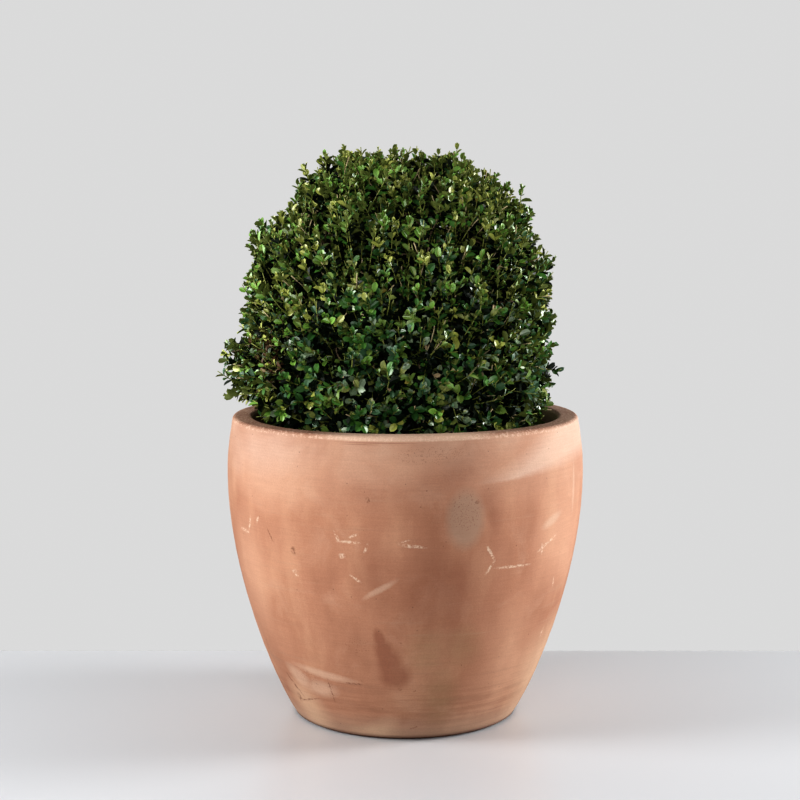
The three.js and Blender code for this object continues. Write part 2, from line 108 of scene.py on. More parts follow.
def along_curve(handles, shares):
    """Points on a curve of three or four handles, at the given shares of the way along."""
    points = [np.asarray(handle, float) for handle in handles]
    shares = np.asarray(shares, float)[..., None]
    while len(points) > 1:
        points = [a + (b - a) * shares for a, b in zip(points, points[1:])]
    return points[0]


def quarter_round(centre, radius, start, count):
    """Points on a quarter circle that starts at the given degrees."""
    turns = math.radians(start) + np.linspace(0, math.pi / 2, count)
    return np.asarray(centre) + radius * np.column_stack([np.cos(turns), np.sin(turns)])


def pot_flank(shares):
    """The wall's outside from the foot up to the belly, as radius and height."""
    return along_curve([(FOOT_RADIUS, EDGE_ROUNDING),
                        (FOOT_RADIUS + FOOT_HOLD * math.cos(FLARE),
                         EDGE_ROUNDING + FOOT_HOLD * math.sin(FLARE)),
                        (BELLY_RADIUS, BELLY_HEIGHT - LOW_BELLY_HOLD),
                        (BELLY_RADIUS, BELLY_HEIGHT)], shares)


def pot_shoulder(shares):
    """The wall's outside from the belly up to the rim."""
    return along_curve([(BELLY_RADIUS, BELLY_HEIGHT),
                        (BELLY_RADIUS, BELLY_HEIGHT + HIGH_BELLY_HOLD),
                        (RIM_RADIUS + RIM_HOLD * math.sin(RIM_LEAN),
                         RIM_EDGE - RIM_HOLD * math.cos(RIM_LEAN)),
                        (RIM_RADIUS, RIM_EDGE)], shares)


def pot_inside(thickness):
    """The wall's inside, a thickness in from the outside, from the floor up to the rim."""
    outside = np.vstack([pot_flank(np.linspace(FLOOR_SHARE, 1, FLANK_ROWS // 4)),
                         pot_shoulder(np.linspace(SHOULDER_START, 1, SHOULDER_ROWS // 2))])
    run = np.gradient(outside, axis=0)
    run /= np.linalg.norm(run, axis=1)[:, None]
    return outside + thickness * np.column_stack([-run[:, 1], run[:, 0]])


def rising(values, start, full):
    """0 up to the start, 1 from full on, and evenly in between."""
    return np.clip((values - start) / (full - start), 0, 1)


def mesh_piece(name, points, faces, materials, slots=None):
    """A smooth mesh object from arrays of points and of faces with equally many corners each."""
    mesh = bpy.data.meshes.new(name)
    mesh.vertices.add(len(points))
    mesh.vertices.foreach_set("co", np.asarray(points, np.float32).ravel())
    mesh.loops.add(faces.size)
    mesh.loops.foreach_set("vertex_index", faces.astype(np.int32).ravel())
    mesh.polygons.add(len(faces))
    mesh.polygons.foreach_set("loop_start", np.arange(0, faces.size, faces.shape[1], dtype=np.int32))
    for material in materials:
        mesh.materials.append(material)
    if slots is not None:
        mesh.polygons.foreach_set("material_index", slots.astype(np.int32))
    mesh.update(calc_edges=True)
    mesh.validate()
    mesh.shade_smooth()
    piece = bpy.data.objects.new(name, mesh)
    bpy.context.scene.collection.objects.link(piece)
    return piece


def turned(profile, sides):
    """Points and four-cornered faces of a profile of radius and height turned round +Z."""
    turns = np.linspace(0, 2 * math.pi, sides, endpoint=False)
    radius, height = profile[:, 0][:, None], profile[:, 1][:, None]
    points = np.stack([radius * np.sin(turns), -radius * np.cos(turns), height + 0 * turns], axis=2)
    row, side = np.meshgrid(np.arange(len(profile) - 1), np.arange(sides), indexing="ij")
    beside = (side + 1) % sides
    low, high = row * sides, (row + 1) * sides
    corners = np.stack([low + side, low + beside, high + beside, high + side], axis=2)
    return points.reshape(-1, 3), corners.reshape(-1, 4)


def grain(points, stretch, offset=0.0):
    """Smooth noise from -1 to 1 at each point, with so many lumps per metre on each axis."""
    places = np.asarray(points) * np.asarray(stretch) + offset
    return np.array([noise.noise(place) for place in places])


pot_wall_inside = pot_inside(WALL)
pot_profile = np.vstack([
    [(AXIS_GAP, 0), (UNDERSIDE_ROW, 0)],
    [(FOOT_RADIUS - TRIM_END, 0), (FOOT_RADIUS - TRIM_END, UNDERCUT)],
    [(FOOT_RADIUS - TRIM_START, UNDERCUT), (FOOT_RADIUS - TRIM_CORNER, UNDERCUT + TRIM_CORNER)],
    pot_flank(np.linspace(0, 1, FLANK_ROWS)),
    pot_shoulder(np.linspace(0, 1, SHOULDER_ROWS))[1:],
    quarter_round((RIM_RADIUS - EDGE_ROUNDING, RIM_EDGE), EDGE_ROUNDING, 0, EDGE_ROWS)[1:],
    [(RIM_RADIUS - WALL * share, POT_HEIGHT) for share in RIM_TOP_ROWS],
    quarter_round((pot_wall_inside[-1, 0] + EDGE_ROUNDING, RIM_EDGE), EDGE_ROUNDING, 90, EDGE_ROWS),
    pot_wall_inside[::-1][1:],
    [(pot_wall_inside[0, 0] - FLOOR_COVE, FLOOR_THICKNESS), (AXIS_GAP, FLOOR_THICKNESS)],
])
pot_points, pot_faces = turned(pot_profile, POT_SIDES)
round_from_front = np.arctan2(pot_points[:, 0], -pot_points[:, 1])
out = np.hypot(pot_points[:, 0], pot_points[:, 1])
lifted = rising(pot_points[:, 2], TRUE_BELOW, UNEVEN_ABOVE)
rings = grain(np.column_stack([np.cos(round_from_front), np.sin(round_from_front), pot_points[:, 2]]),
              (RING_CHANGE, RING_CHANGE, RINGS_PER_METRE))
uneven = OUT_OF_ROUND * sum(strength * np.cos(count * round_from_front + start)
                            for count, strength, start in SWELLS_ROUND)
edge_middle = EDGE_ROUNDING / 3         # in from both sides of the rounded edge
past_edge = np.hypot(out - RIM_RADIUS + edge_middle, pot_points[:, 2] - POT_HEIGHT + edge_middle)
for turn, size, depth in RIM_CHIPS:
    apart = (round_from_front - math.radians(turn)) * RIM_RADIUS
    uneven -= depth * np.clip(1 - np.hypot(apart, past_edge) / size, 0, 1) ** 2
swollen = 1 + lifted * (RING_DEPTH * rings + uneven) / np.maximum(out, NEAR_AXIS)
pot_points[:, :2] *= swollen[:, None]
rim_wave = np.sin(RIM_WAVES * round_from_front + RIM_WAVE_START) * np.cos(round_from_front)
pot_points[:, 2] += RIM_UNEVENNESS * rising(pot_points[:, 2], BELLY_HEIGHT, POT_HEIGHT) * rim_wave


def colour(hex_code):
    """An sRGB hex colour as linear red, green, blue and alpha, by the standard curve."""
    parts = [int(hex_code[i:i + 2], 16) / 255 for i in (1, 3, 5)]
    linear = [part / 12.92 if part <= 0.04045 else ((part + 0.055) / 1.055) ** 2.4 for part in parts]
    return (*linear, 1)


def new_material(name):
    """A new material, with its node tree and its shader."""
    material = bpy.data.materials.new(name)
    material.use_nodes = True
    return material, material.node_tree, material.node_tree.nodes["Principled BSDF"]


def add(tree, kind, inputs=None, **settings):
    """Adds a node with its settings, and sets each of its sockets or links it from a node or socket."""
    node = tree.nodes.new("ShaderNode" + kind)
    for setting, value in settings.items():
        setattr(node, setting, value)
    for socket, value in (inputs or {}).items():
        if isinstance(value, bpy.types.Node):
            value = next(output for output in value.outputs if output.enabled)
        if isinstance(value, bpy.types.NodeSocket):
            tree.links.new(value, node.inputs[socket])
        else:
            node.inputs[socket].default_value = value
    return node


# Thrown, low-fired terracotta: dry and matt, with soft clouds of orange, brown and pink from the kiln,
# upright smears from handling, fine strokes round it from the hands, pits, and a chalky bloom of lime.
terracotta, tree, shader = new_material("thrown_low_fired_terracotta")
CLOUD = 4                # clouds of colour about 250 mm apart
PATCH = 14               # blotches about 70 mm apart
SMEAR = (16, 16, 6)      # upright smears, about 60 mm wide and 170 mm high
STROKE = (7, 7, 110)     # strokes about 9 mm high and much longer
HAIR = (20, 20, 460)     # the finest strokes, about 2 mm high
SAND = 520               # sand grains, drawn at 2 mm, coarser than the real ones so that they show
PIT = 55                 # one pit in about 18 mm, where there are any
FLECK = 260              # flakes and flecks about 4 mm apart
DRIFT, DRIFT_REACH = 10, 60     # clouds' edges wander by up to 30 mm, in waves about 100 mm long
SCUFF, SCUFF_REACH = 160, 4     # scrapes' edges wander by up to 2 mm, in waves about 6 mm long
MARK_REACH = 1.2         # how far a mark's edge may lie out, of its half length and half width
MM = 1000                # millimetres in a metre
MM_ROUND = MM * BELLY_RADIUS

place = add(tree, "TexCoord").outputs["Object"]
axes = add(tree, "SeparateXYZ", {0: place})
front = add(tree, "Math", {0: axes.outputs["Y"], 1: -1}, operation="MULTIPLY")
turn = add(tree, "Math", {0: axes.outputs["X"], 1: front}, operation="ARCTAN2")
run = add(tree, "Math", {0: turn, 1: MM_ROUND}, operation="MULTIPLY")
rise = add(tree, "Math", {0: axes.outputs["Z"], 1: MM}, operation="MULTIPLY")
wall = add(tree, "CombineXYZ", {0: run, 1: rise})       # millimetres round from the front, and up

cloud = add(tree, "TexNoise", {"Vector": place, "Scale": CLOUD, "Detail": 3, "Roughness": 0.55})
patch = add(tree, "TexNoise", {"Vector": place, "Scale": PATCH, "Detail": 5, "Roughness": 0.6,
                               "Distortion": 0.6})
smear, stroke, hair = [
    add(tree, "TexNoise", {
        "Vector": add(tree, "VectorMath", {0: place, 1: stretch}, operation="MULTIPLY"),
        "Scale": 1, "Detail": detail, "Roughness": roughness})
    for stretch, detail, roughness in [(SMEAR, 4, 0.55), (STROKE, 4, 0.6), (HAIR, 2, 0.5)]]
sand = add(tree, "TexNoise", {"Vector": place, "Scale": SAND, "Detail": 2, "Roughness": 0.7})
fleck = add(tree, "TexNoise", {"Vector": place, "Scale": FLECK, "Detail": 3, "Roughness": 0.6})
pit = add(tree, "TexVoronoi", {"Vector": place, "Scale": PIT}, feature="F1")


def wandering(noise_node, reach):
    """The place on the wall, moved about by up to half a reach in millimetres, so that edges wander."""
    offset = add(tree, "VectorMath", {0: noise_node.outputs["Color"], 1: (0.5, 0.5, 0.5)},
                 operation="SUBTRACT")
    shift = add(tree, "VectorMath", {0: offset, 1: (reach, reach, 0)}, operation="MULTIPLY")
    return add(tree, "VectorMath", {0: wall, 1: shift}, operation="ADD")


def cover_of(marks, softness, drawn_at):
    """Where marks lie. Each is given by degrees round from the front, height, half length and half
    width in millimetres, and slope in degrees."""
    cover = None
    for turned_by, height, half_length, half_width, slope in marks:
        centre = (math.radians(turned_by) * MM_ROUND, height, 0)
        spot = add(tree, "Mapping", {"Vector": drawn_at, "Location": centre,
                                     "Rotation": (0, 0, math.radians(slope)),
                                     "Scale": (half_length, half_width, 1)}, vector_type="TEXTURE")
        far = add(tree, "VectorMath", {0: spot}, operation="LENGTH").outputs["Value"]
        near = add(tree, "MapRange", {"Value": far, "From Min": MARK_REACH,
                                      "From Max": MARK_REACH - softness})
        cover = near if cover is None else add(tree, "Math", {0: cover, 1: near}, operation="MAXIMUM")
    return cover


def part_of(cover, share):
    """A cover at a share of its strength, or only where another cover lies too."""
    return add(tree, "Math", {0: cover, 1: share}, operation="MULTIPLY")


def coated(body, hex_code, cover):
    """The body with another colour over it where the cover lies."""
    return add(tree, "Mix", {0: cover, 6: body, 7: colour(hex_code)}, data_type="RGBA").outputs[2]


drifting = wandering(add(tree, "TexNoise", {"Vector": place, "Scale": DRIFT, "Detail": 1}), DRIFT_REACH)
scuffed = wandering(add(tree, "TexNoise", {"Vector": place, "Scale": SCUFF, "Detail": 3}), SCUFF_REACH)
# Darker and greyer towards the bottom.
low_fall = add(tree, "MapRange", {"Value": rise, "From Min": 250, "From Max": 60})

# Kiln colour, and a tint that grows darker and greyer towards the bottom: each wash, the pattern or
# cover that it follows, between which of the pattern's values it fades in, and how strong it gets.
BROWN_CLOUDS = [(16, 250, 88, 105, 0), (27, 360, 17, 45, 0), (17, 418, 28, 30, 0), (-11, 268, 38, 55, 0),
                (-150, 270, 70, 80, 0)]
PEACH_CLOUDS = [(-44, 400, 95, 55, 0), (-62, 250, 60, 90, 0), (60, 300, 75, 90, 0), (2, 435, 80, 34, 0),
                (44, 102, 88, 104, 0), (140, 330, 70, 90, 0)]
body = colour("#b4846a")
for hex_code, pattern, fade, strength in [
        ("#9d6a50", cloud, (0.48, 0.66), 0.55),
        ("#c99d80", smear, (0.5, 0.66), 0.5),
        ("#9c6c54", smear, (0.46, 0.32), 0.4),
        ("#c7a18a", patch, (0.54, 0.72), 0.35),
        ("#8e5d47", cover_of(BROWN_CLOUDS, 1.0, drifting), None, 0.44),
        ("#d0a58a", cover_of(PEACH_CLOUDS, 0.9, drifting), None, 0.5),
        ("#8a7059", low_fall, None, 0.18),
        ("#7b5340", part_of(low_fall, stroke), (0.42, 0.6), 0.25),
        ("#b39a84", stroke, (0.6, 0.78), 0.2)]:
    if fade:
        pattern = add(tree, "MapRange", {"Value": pattern, "From Min": fade[0], "From Max": fade[1]})
    body = coated(body, hex_code, part_of(pattern, strength))

# Lime bloom: it creeps down from the rim and lies on the foot, and round to the right it makes a pale
# sheet with a sharp lower edge, which the water has left there. All in millimetres, round and up.
SHEET_START = 105
SHEET_FOOT, SHEET_FOOT_CLIMB = 395.5, 0.05      # its lower edge's height at the start, and its slope
SHEET_TOP, SHEET_TOP_CLIMB = 401, 0.5
SHEET_STRENGTH = [(100, 300, 0.45, 0.5), (560, 700, 1, 0)]      # from and to, and strength at each
LEFT_BLOOM = [(-52, 440, 120, 38, 0)]
FOOT_PATCHES = [(68, 80, 78, 95, 0), (-15, 20, 60, 16, 0), (-48, 34, 60, 42, 0)]
# Thin dark lines painted just under the lip at the front, as the shadow of a small groove there.
LIP_SHADOW_LINES = [(-9, 457, 60, 1.2, 0), (-14, 454.5, 30, 0.8, 0)]

worn = add(tree, "SeparateXYZ", {0: scuffed})
past_start = add(tree, "Math", {0: worn.outputs["X"], 1: SHEET_START}, operation="SUBTRACT")
over_edge = add(tree, "Math", {0: past_start, 1: -SHEET_FOOT_CLIMB, 2: -SHEET_FOOT},
                operation="MULTIPLY_ADD")
over_edge = add(tree, "Math", {0: over_edge, 1: worn.outputs["Y"]}, operation="ADD")
under_slope = add(tree, "Math", {0: past_start, 1: SHEET_TOP_CLIMB, 2: SHEET_TOP},
                  operation="MULTIPLY_ADD")
under_slope = add(tree, "Math", {0: under_slope, 1: worn.outputs["Y"]}, operation="SUBTRACT")
edge_width = add(tree, "MapRange", {"Value": run, "From Min": 160, "From Max": 300, "To Min": 3,
                                    "To Max": 22})
sheet = part_of(add(tree, "MapRange", {"Value": over_edge, "From Min": -1, "From Max": edge_width}),
                add(tree, "MapRange", {"Value": under_slope, "From Min": 0, "From Max": 30}))
for start, end, first, last in SHEET_STRENGTH:
    sheet = part_of(sheet, add(tree, "MapRange", {"Value": run, "From Min": start, "From Max": end,
                                                  "To Min": first, "To Max": last}))

# The rim's top is bare and browner, but at the front its lip and top are painted pale as a highlight,
# and a dark band along the foot is a painted contact shadow. Each starts and is full at its own heights,
# in millimetres.
rim_rise, foot_bloom, foot_painted_shadow, lip, rim_top = [
    add(tree, "MapRange", {"Value": rise, "From Min": start, "From Max": full})
    for start, full in [(350, 450), (48, 14), (9, 3), (458.5, 460.5), (462, 465)]]
# Within 90 mm of the front, fading out by 150 mm, the lip and the rim's top are painted pale as a
# highlight, and the brown of the rim's top is weaker there.
from_front = add(tree, "Math", {0: run}, operation="ABSOLUTE")
front_highlight_zone = add(tree, "MapRange", {"Value": from_front, "From Min": 150, "From Max": 90})
rim_bloom, rim_brown, away_from_highlight = [
    add(tree, "MapRange", {"Value": pattern, "From Min": low, "From Max": high, "To Min": first,
                           "To Max": last})
    for pattern, low, high, first, last in [(patch, 0.3, 0.6, 0.15, 0.6), (patch, 0.3, 0.65, 0.95, 0.45),
                                            (front_highlight_zone, 0, 1, 1, 0.35)]]
flaked = add(tree, "MapRange", {"Value": fleck, "From Min": 0.5, "From Max": 0.6})
for hex_code, cover in [
        ("#cba892", part_of(rim_bloom, rim_rise)),
        ("#d0b6a8", part_of(cover_of(LEFT_BLOOM, 0.9, drifting), 0.28)),
        ("#b39b87", part_of(foot_bloom, 0.5)),
        ("#d2b498", part_of(cover_of(FOOT_PATCHES, 0.9, drifting), 0.5)),
        # painted contact shadow along the foot
        ("#4d2d22", part_of(foot_painted_shadow, 0.85)),
        ("#d9c0af", sheet),
        ("#9a6d57", part_of(part_of(rim_top, rim_brown), away_from_highlight)),
        # painted highlight on the lip and rim top at the front
        ("#e2c4ad", part_of(part_of(lip, front_highlight_zone), 0.6)),
        ("#e0c2ac", part_of(part_of(lip, flaked), 0.6)),
        # painted groove shadow under the lip
        ("#8f5f49", part_of(cover_of(LIP_SHADOW_LINES, 0.6, wall), 0.45))]:
    body = coated(body, hex_code, cover)

# Marks of use: chalky scrapes, bruises, a scuffed corner low on the left, stains and scratches.
CHALK_MARKS = [(-61, 308, 15, 3, -4), (-57, 322, 2.5, 12, -24), (-52, 330, 2, 7, -30),
               (-17, 316, 17, 2.2, 0), (-15.5, 325, 8, 1.8, 22), (-20.8, 323, 2, 9, 26),
               (-11.8, 308, 2.2, 8, -22), (-19.4, 295, 5, 4, 0), (2, 312, 20, 2.6, -7),
               (-0.5, 319, 8, 1.6, 14), (26.8, 296, 15, 2.4, -57), (27, 274, 12, 2.2, 52),
               (36, 271, 33, 2, -2), (50.5, 296, 24, 2.2, 24), (48, 290, 2, 9, 12),
               (-36.8, 264, 5, 2.6, 10), (-36.2, 258, 4, 2, -12), (-15.4, 262, 10, 2, -31),
               (59, 230, 2, 8, 10), (61, 150, 2.4, 9, -15)]
FAINT_SCRAPES = [(-8, 247, 30, 5, 29), (52, 330, 26, 8, 20), (66, 370, 5, 40, 0), (-33, 104, 70, 7, -5),
                 (-47, 90, 34, 15, -20), (-36, 78, 40, 14, 0)]
GREY_BRUISES = [(18, 348, 28, 41, 0)]
OLIVE_BRUISES = [(8, 150, 40, 34, 0), (20, 152, 40, 36, 0), (14, 75, 38, 60, 0)]
RED_STREAKS = [(-8.6, 170, 10, 18, 20), (-7.4, 150, 17, 24, 14), (-5.6, 130, 23, 26, 8),
               (-3.9, 112, 29, 22, 0)]
DARK_MARKS = [(-46, 312, 11, 1.3, -58), (-36.4, 295, 5, 6, 0), (-11, 377, 3, 4.5, 0),
              (21.5, 372, 4, 2.6, 0), (-53, 72, 26, 3, -42), (-53, 50, 8, 8, 0), (-46, 52, 36, 1.6, 12),
              (-31, 78, 1.6, 20, 6), (-20, 95, 17, 1.5, 0), (-2.1, 90, 4, 2.4, 0), (3, 87, 5, 1.6, 0),
              (4, 23, 9, 1.6, 14)]
SPECKLED = [(-42, 92, 34, 15, -6), (-31, 78, 8, 20, 0), (-17, 158, 26, 18, 0), (18, 360, 28, 34, 0),
            (8, 440, 60, 14, 0)]

broken = add(tree, "MapRange", {"Value": fleck, "From Min": 0.4, "From Max": 0.55})
spotted = add(tree, "MapRange", {"Value": sand, "From Min": 0.56, "From Max": 0.64})
streaked = add(tree, "MapRange", {"Value": stroke, "From Min": 0.35, "From Max": 0.6, "To Min": 0.5})
for hex_code, strength, softness, broken_by, marks in [
        ("#cdb09a", 0.5, 0.7, None, FAINT_SCRAPES),
        ("#ab9380", 0.6, 0.45, None, GREY_BRUISES),
        ("#9c8262", 0.42, 0.9, streaked, OLIVE_BRUISES),
        ("#87523c", 0.55, 0.6, None, RED_STREAKS),
        ("#dcc3ad", 0.75, 0.6, broken, CHALK_MARKS),
        ("#6f4531", 0.65, 0.6, broken, DARK_MARKS),
        ("#6f4531", 0.5, 0.5, spotted, SPECKLED)]:
    cover = part_of(cover_of(marks, softness, scuffed), strength)
    if broken_by:
        cover = part_of(cover, broken_by)
    body = coated(body, hex_code, cover)

# Sand grains and fine lines mottle all of it. Pits lie only in its blotches, where it is also drier.
speckle, fine_lines, pits, unpitted, dryness = [
    add(tree, "MapRange", {"Value": pattern, "From Min": low, "From Max": high, "To Min": first,
                           "To Max": last})
    for pattern, low, high, first, last in [
        (sand, 0.3, 0.7, 0.84, 0.96), (hair, 0.3, 0.7, 0.97, 1.03),
        (pit.outputs["Distance"], 0.03, 0.07, 0.6, 1), (patch, 0.44, 0.56, 1, 0),
        (patch, 0.3, 0.7, 0.78, 0.92)]]
pitted = add(tree, "Math", {0: pits, 1: unpitted}, operation="MAXIMUM")
grainy = part_of(part_of(speckle, fine_lines), pitted)
body = add(tree, "Mix", {0: 1.0, 6: body, 7: grainy}, data_type="RGBA", blend_type="MULTIPLY")

relief = add(tree, "Math", {0: sand, 1: hair}, operation="ADD")
relief = add(tree, "Math", {0: relief, 1: pitted, 2: stroke}, operation="MULTIPLY_ADD")
bump = add(tree, "Bump", {"Height": relief, "Strength": 0.25, "Distance": 0.0005})
tree.links.new(body.outputs[2], shader.inputs["Base Color"])
tree.links.new(dryness.outputs[0], shader.inputs["Roughness"])
tree.links.new(bump.outputs[0], shader.inputs["Normal"])
shader.inputs["IOR"].default_value = 1.5

pot = mesh_piece("thrown_pot", pot_points, pot_faces, [terracotta])
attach(pot, "root")
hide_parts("pot")


# ------------------------------------------------------------------------------------- compost
# Bark and peat compost, filled in loose to two or three fingers below the rim and settled by watering,
# so that its top is lumpy and strewn with crumbs.

COMPOST_TOP = 0.42
COMPOST_GAP = 0.0005     # between the pot's skin and the compost's, so that they don't cut through
COMPOST_SIDES, COMPOST_ROWS = 160, 60
TOP_MARGIN = 0.002       # the last row up the wall lies at least so far below the top
LUMP_SIZES = [(26, 0.004, 0), (110, 0.0018, 7), (300, 0.0009, 3)]       # per metre, height, and where
DISH_RADIUS, DISH_END, DISH_DEPTH = 0.036, 0.076, 0.001         # pressed flat round the trunk
CRUMBS = 900
CRUMB_SIZE = (0.0012, 0.0038)
CRUMB_CORNERS = (0.6, 1.3)       # of a crumb's six corners, as shares of its size
CRUMB_FIELD = (0.03, 0.97)       # from near the trunk to near the pot's wall
CRUMB_HEIGHT = 0.002
dice = np.random.default_rng(2026)

compost_wall = pot_inside(WALL + COMPOST_GAP)
compost_wall = compost_wall[compost_wall[:, 1] < COMPOST_TOP - TOP_MARGIN]
compost_foot = FLOOR_THICKNESS + COMPOST_GAP
edge_radius = np.interp(COMPOST_TOP, compost_wall[:, 1], compost_wall[:, 0])
compost_profile = np.vstack([
    [(AXIS_GAP, compost_foot), (compost_wall[0, 0] - FLOOR_COVE, compost_foot)],
    compost_wall,
    [(edge_radius * share, COMPOST_TOP) for share in np.linspace(1, 0.01, COMPOST_ROWS)],
])
compost_points, compost_faces = turned(compost_profile, COMPOST_SIDES)
on_top = compost_points[:, 2] > COMPOST_TOP - TOP_MARGIN / 2
lumps = sum(height * grain(compost_points[on_top], (per_metre, per_metre, 1), start)
            for per_metre, height, start in LUMP_SIZES)
past_dish = rising(np.hypot(*compost_points[on_top, :2].T), DISH_RADIUS, DISH_END)
compost_points[on_top, 2] += lumps * past_dish - DISH_DEPTH * (1 - past_dish)

crumb_out = edge_radius * CRUMB_FIELD[1] * np.sqrt(dice.uniform(CRUMB_FIELD[0], 1, CRUMBS))
crumb_turn = dice.uniform(0, 2 * math.pi, CRUMBS)
crumb_size = dice.uniform(*CRUMB_SIZE, (CRUMBS, 1, 1)) * dice.uniform(*CRUMB_CORNERS, (CRUMBS, 6, 1))
octahedron = np.array([(1, 0, 0), (-1, 0, 0), (0, 1, 0), (0, -1, 0), (0, 0, 1), (0, 0, -1)], float)
crumb_middle = np.column_stack([crumb_out * np.cos(crumb_turn), crumb_out * np.sin(crumb_turn),
                                np.full(CRUMBS, COMPOST_TOP + CRUMB_HEIGHT)])
crumb_points = (crumb_middle[:, None] + crumb_size * octahedron).reshape(-1, 3)
octahedron_faces = np.array([(0, 2, 4), (2, 1, 4), (1, 3, 4), (3, 0, 4),
                             (2, 0, 5), (1, 2, 5), (3, 1, 5), (0, 3, 5)])
crumb_faces = (octahedron_faces + len(octahedron) * np.arange(CRUMBS)[:, None, None]).reshape(-1, 3)

# Damp peat and composted bark: nearly black, with brown crumbs, and rough, with hardly any shine.
peat, tree, shader = new_material("damp_peat_and_bark_compost")
CRUMBLE = 140            # crumbs about 7 mm across
FIBRE = 260              # fibres about 4 mm apart
place = add(tree, "TexCoord").outputs["Object"]
crumbly = add(tree, "TexNoise", {"Vector": place, "Scale": CRUMBLE, "Detail": 6, "Roughness": 0.7})
fibres = add(tree, "TexVoronoi", {"Vector": place, "Scale": FIBRE}, feature="F1")
brown = add(tree, "MapRange", {"Value": crumbly, "From Min": 0.42, "From Max": 0.68})
soil = add(tree, "Mix", {0: brown, 6: colour("#17110d"), 7: colour("#3b2a1e")}, data_type="RGBA")
lumpy = add(tree, "Math", {0: crumbly, 1: fibres.outputs["Distance"]}, operation="ADD")
bump = add(tree, "Bump", {"Height": lumpy, "Strength": 0.8, "Distance": 0.002})
tree.links.new(soil.outputs[2], shader.inputs["Base Color"])
tree.links.new(bump.outputs[0], shader.inputs["Normal"])
shader.inputs["Roughness"].default_value = 0.9

compost = mesh_piece("compost_fill", compost_points, compost_faces, [peat])
crumbs = mesh_piece("compost_crumbs", crumb_points, crumb_faces, [peat])
for piece in (compost, crumbs):
    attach(piece, "root")
    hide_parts("compost")


# ------------------------------------------------------------------------------------- trunk and boughs
# One short trunk with a fluted root flare, and six limbs of hard, slow-grown box wood. Each side bough
# leaves the trunk at its own height and the leader goes on from its top, up to where the foliage starts.

TRUNK_RADIUS = 0.017
TRUNK_TAPER = 0.0025
TRUNK_FLARE, FLARE_POWER = 0.01, 5      # how far the root flare stands out, and how fast it fades
FLUTES, FLUTE_DEPTH = 5, 0.3            # round the root flare
TRUNK_TOP = np.array([-0.006, 0.004, 0.508])
# How far the trunk stays upright at its foot and at its top, and the leader at both its ends.
TRUNK_HOLD, TOP_HOLD, LEADER_HOLD = 0.034, 0.03, 0.06
BOUGH_RADIUS = 0.009
BOUGH_TIP_RADIUS = 0.006
BOUGH_SHARE = 0.43       # how far out from the crown's centre a bough ends, of the crown's reach
BEND_SHARE, BEND_RISE = 0.45, 0.03      # where a bough bends, of its way out, and how far above its foot
CLEARANCE = 0.0003       # between one limb and the next

CROWN_CENTRE = np.array([-0.009, 0, 0.625])
CROWN_RADIUS = 0.236
CROWN_RISE = 0.246       # from its centre up to its clipped top
CROWN_DROP = 0.215       # from its centre down to its hidden foot
CROWN_TOP_POWER = 2.2    # 2 would be an ellipse, more is squarer
CROWN_FOOT_POWER = 5
CROWN_SWELL = 0.005      # the swells that clipping by hand leaves
SWELL_WAVES = (6, 5, 4)  # and how close they lie, to the side, to the back and upward
SWELL_START = 2

# Each mass of foliage and its bough: the direction from the crown's centre in which they lie, in
# degrees with 0 along +X, and the height at which the bough leaves the trunk.
MASSES = [("top", 40, 86, TRUNK_TOP[2]),
          ("front_left", 232, -2, 0.454),
          ("front_right", 308, 3, 0.474),
          ("right", 20, 0, 0.456),
          ("back", 92, 4, 0.475),
          ("left", 165, -3, 0.464)]


def aim_at(azimuth, elevation):
    """The direction that lies so many degrees round and up."""
    turn, lift = math.radians(azimuth), math.radians(elevation)
    return np.array([math.cos(turn) * math.cos(lift), math.sin(turn) * math.cos(lift), math.sin(lift)])


def crown_reach(aims):
    """How far the clipped surface lies from the crown's centre, in each of the given directions."""
    aims = np.atleast_2d(aims)
    upward = aims[:, 2] > 0
    power = np.where(upward, CROWN_TOP_POWER, CROWN_FOOT_POWER)
    across = np.hypot(aims[:, 0], aims[:, 1]) / CROWN_RADIUS
    along = np.abs(aims[:, 2]) / np.where(upward, CROWN_RISE, CROWN_DROP)
    swell = CROWN_SWELL * (np.sin(SWELL_WAVES[0] * aims[:, 0] + SWELL_START)
                           * np.sin(SWELL_WAVES[1] * aims[:, 1] + SWELL_WAVES[2] * aims[:, 2]))
    return (across ** power + along ** power) ** (-1 / power) + swell * (1 - np.abs(aims[:, 2]))


def unit(vectors):
    """The same directions with a length of 1."""
    return vectors / np.linalg.norm(vectors, axis=-1, keepdims=True)


NEARLY_UPRIGHT = 0.8     # a limb's rise over its length


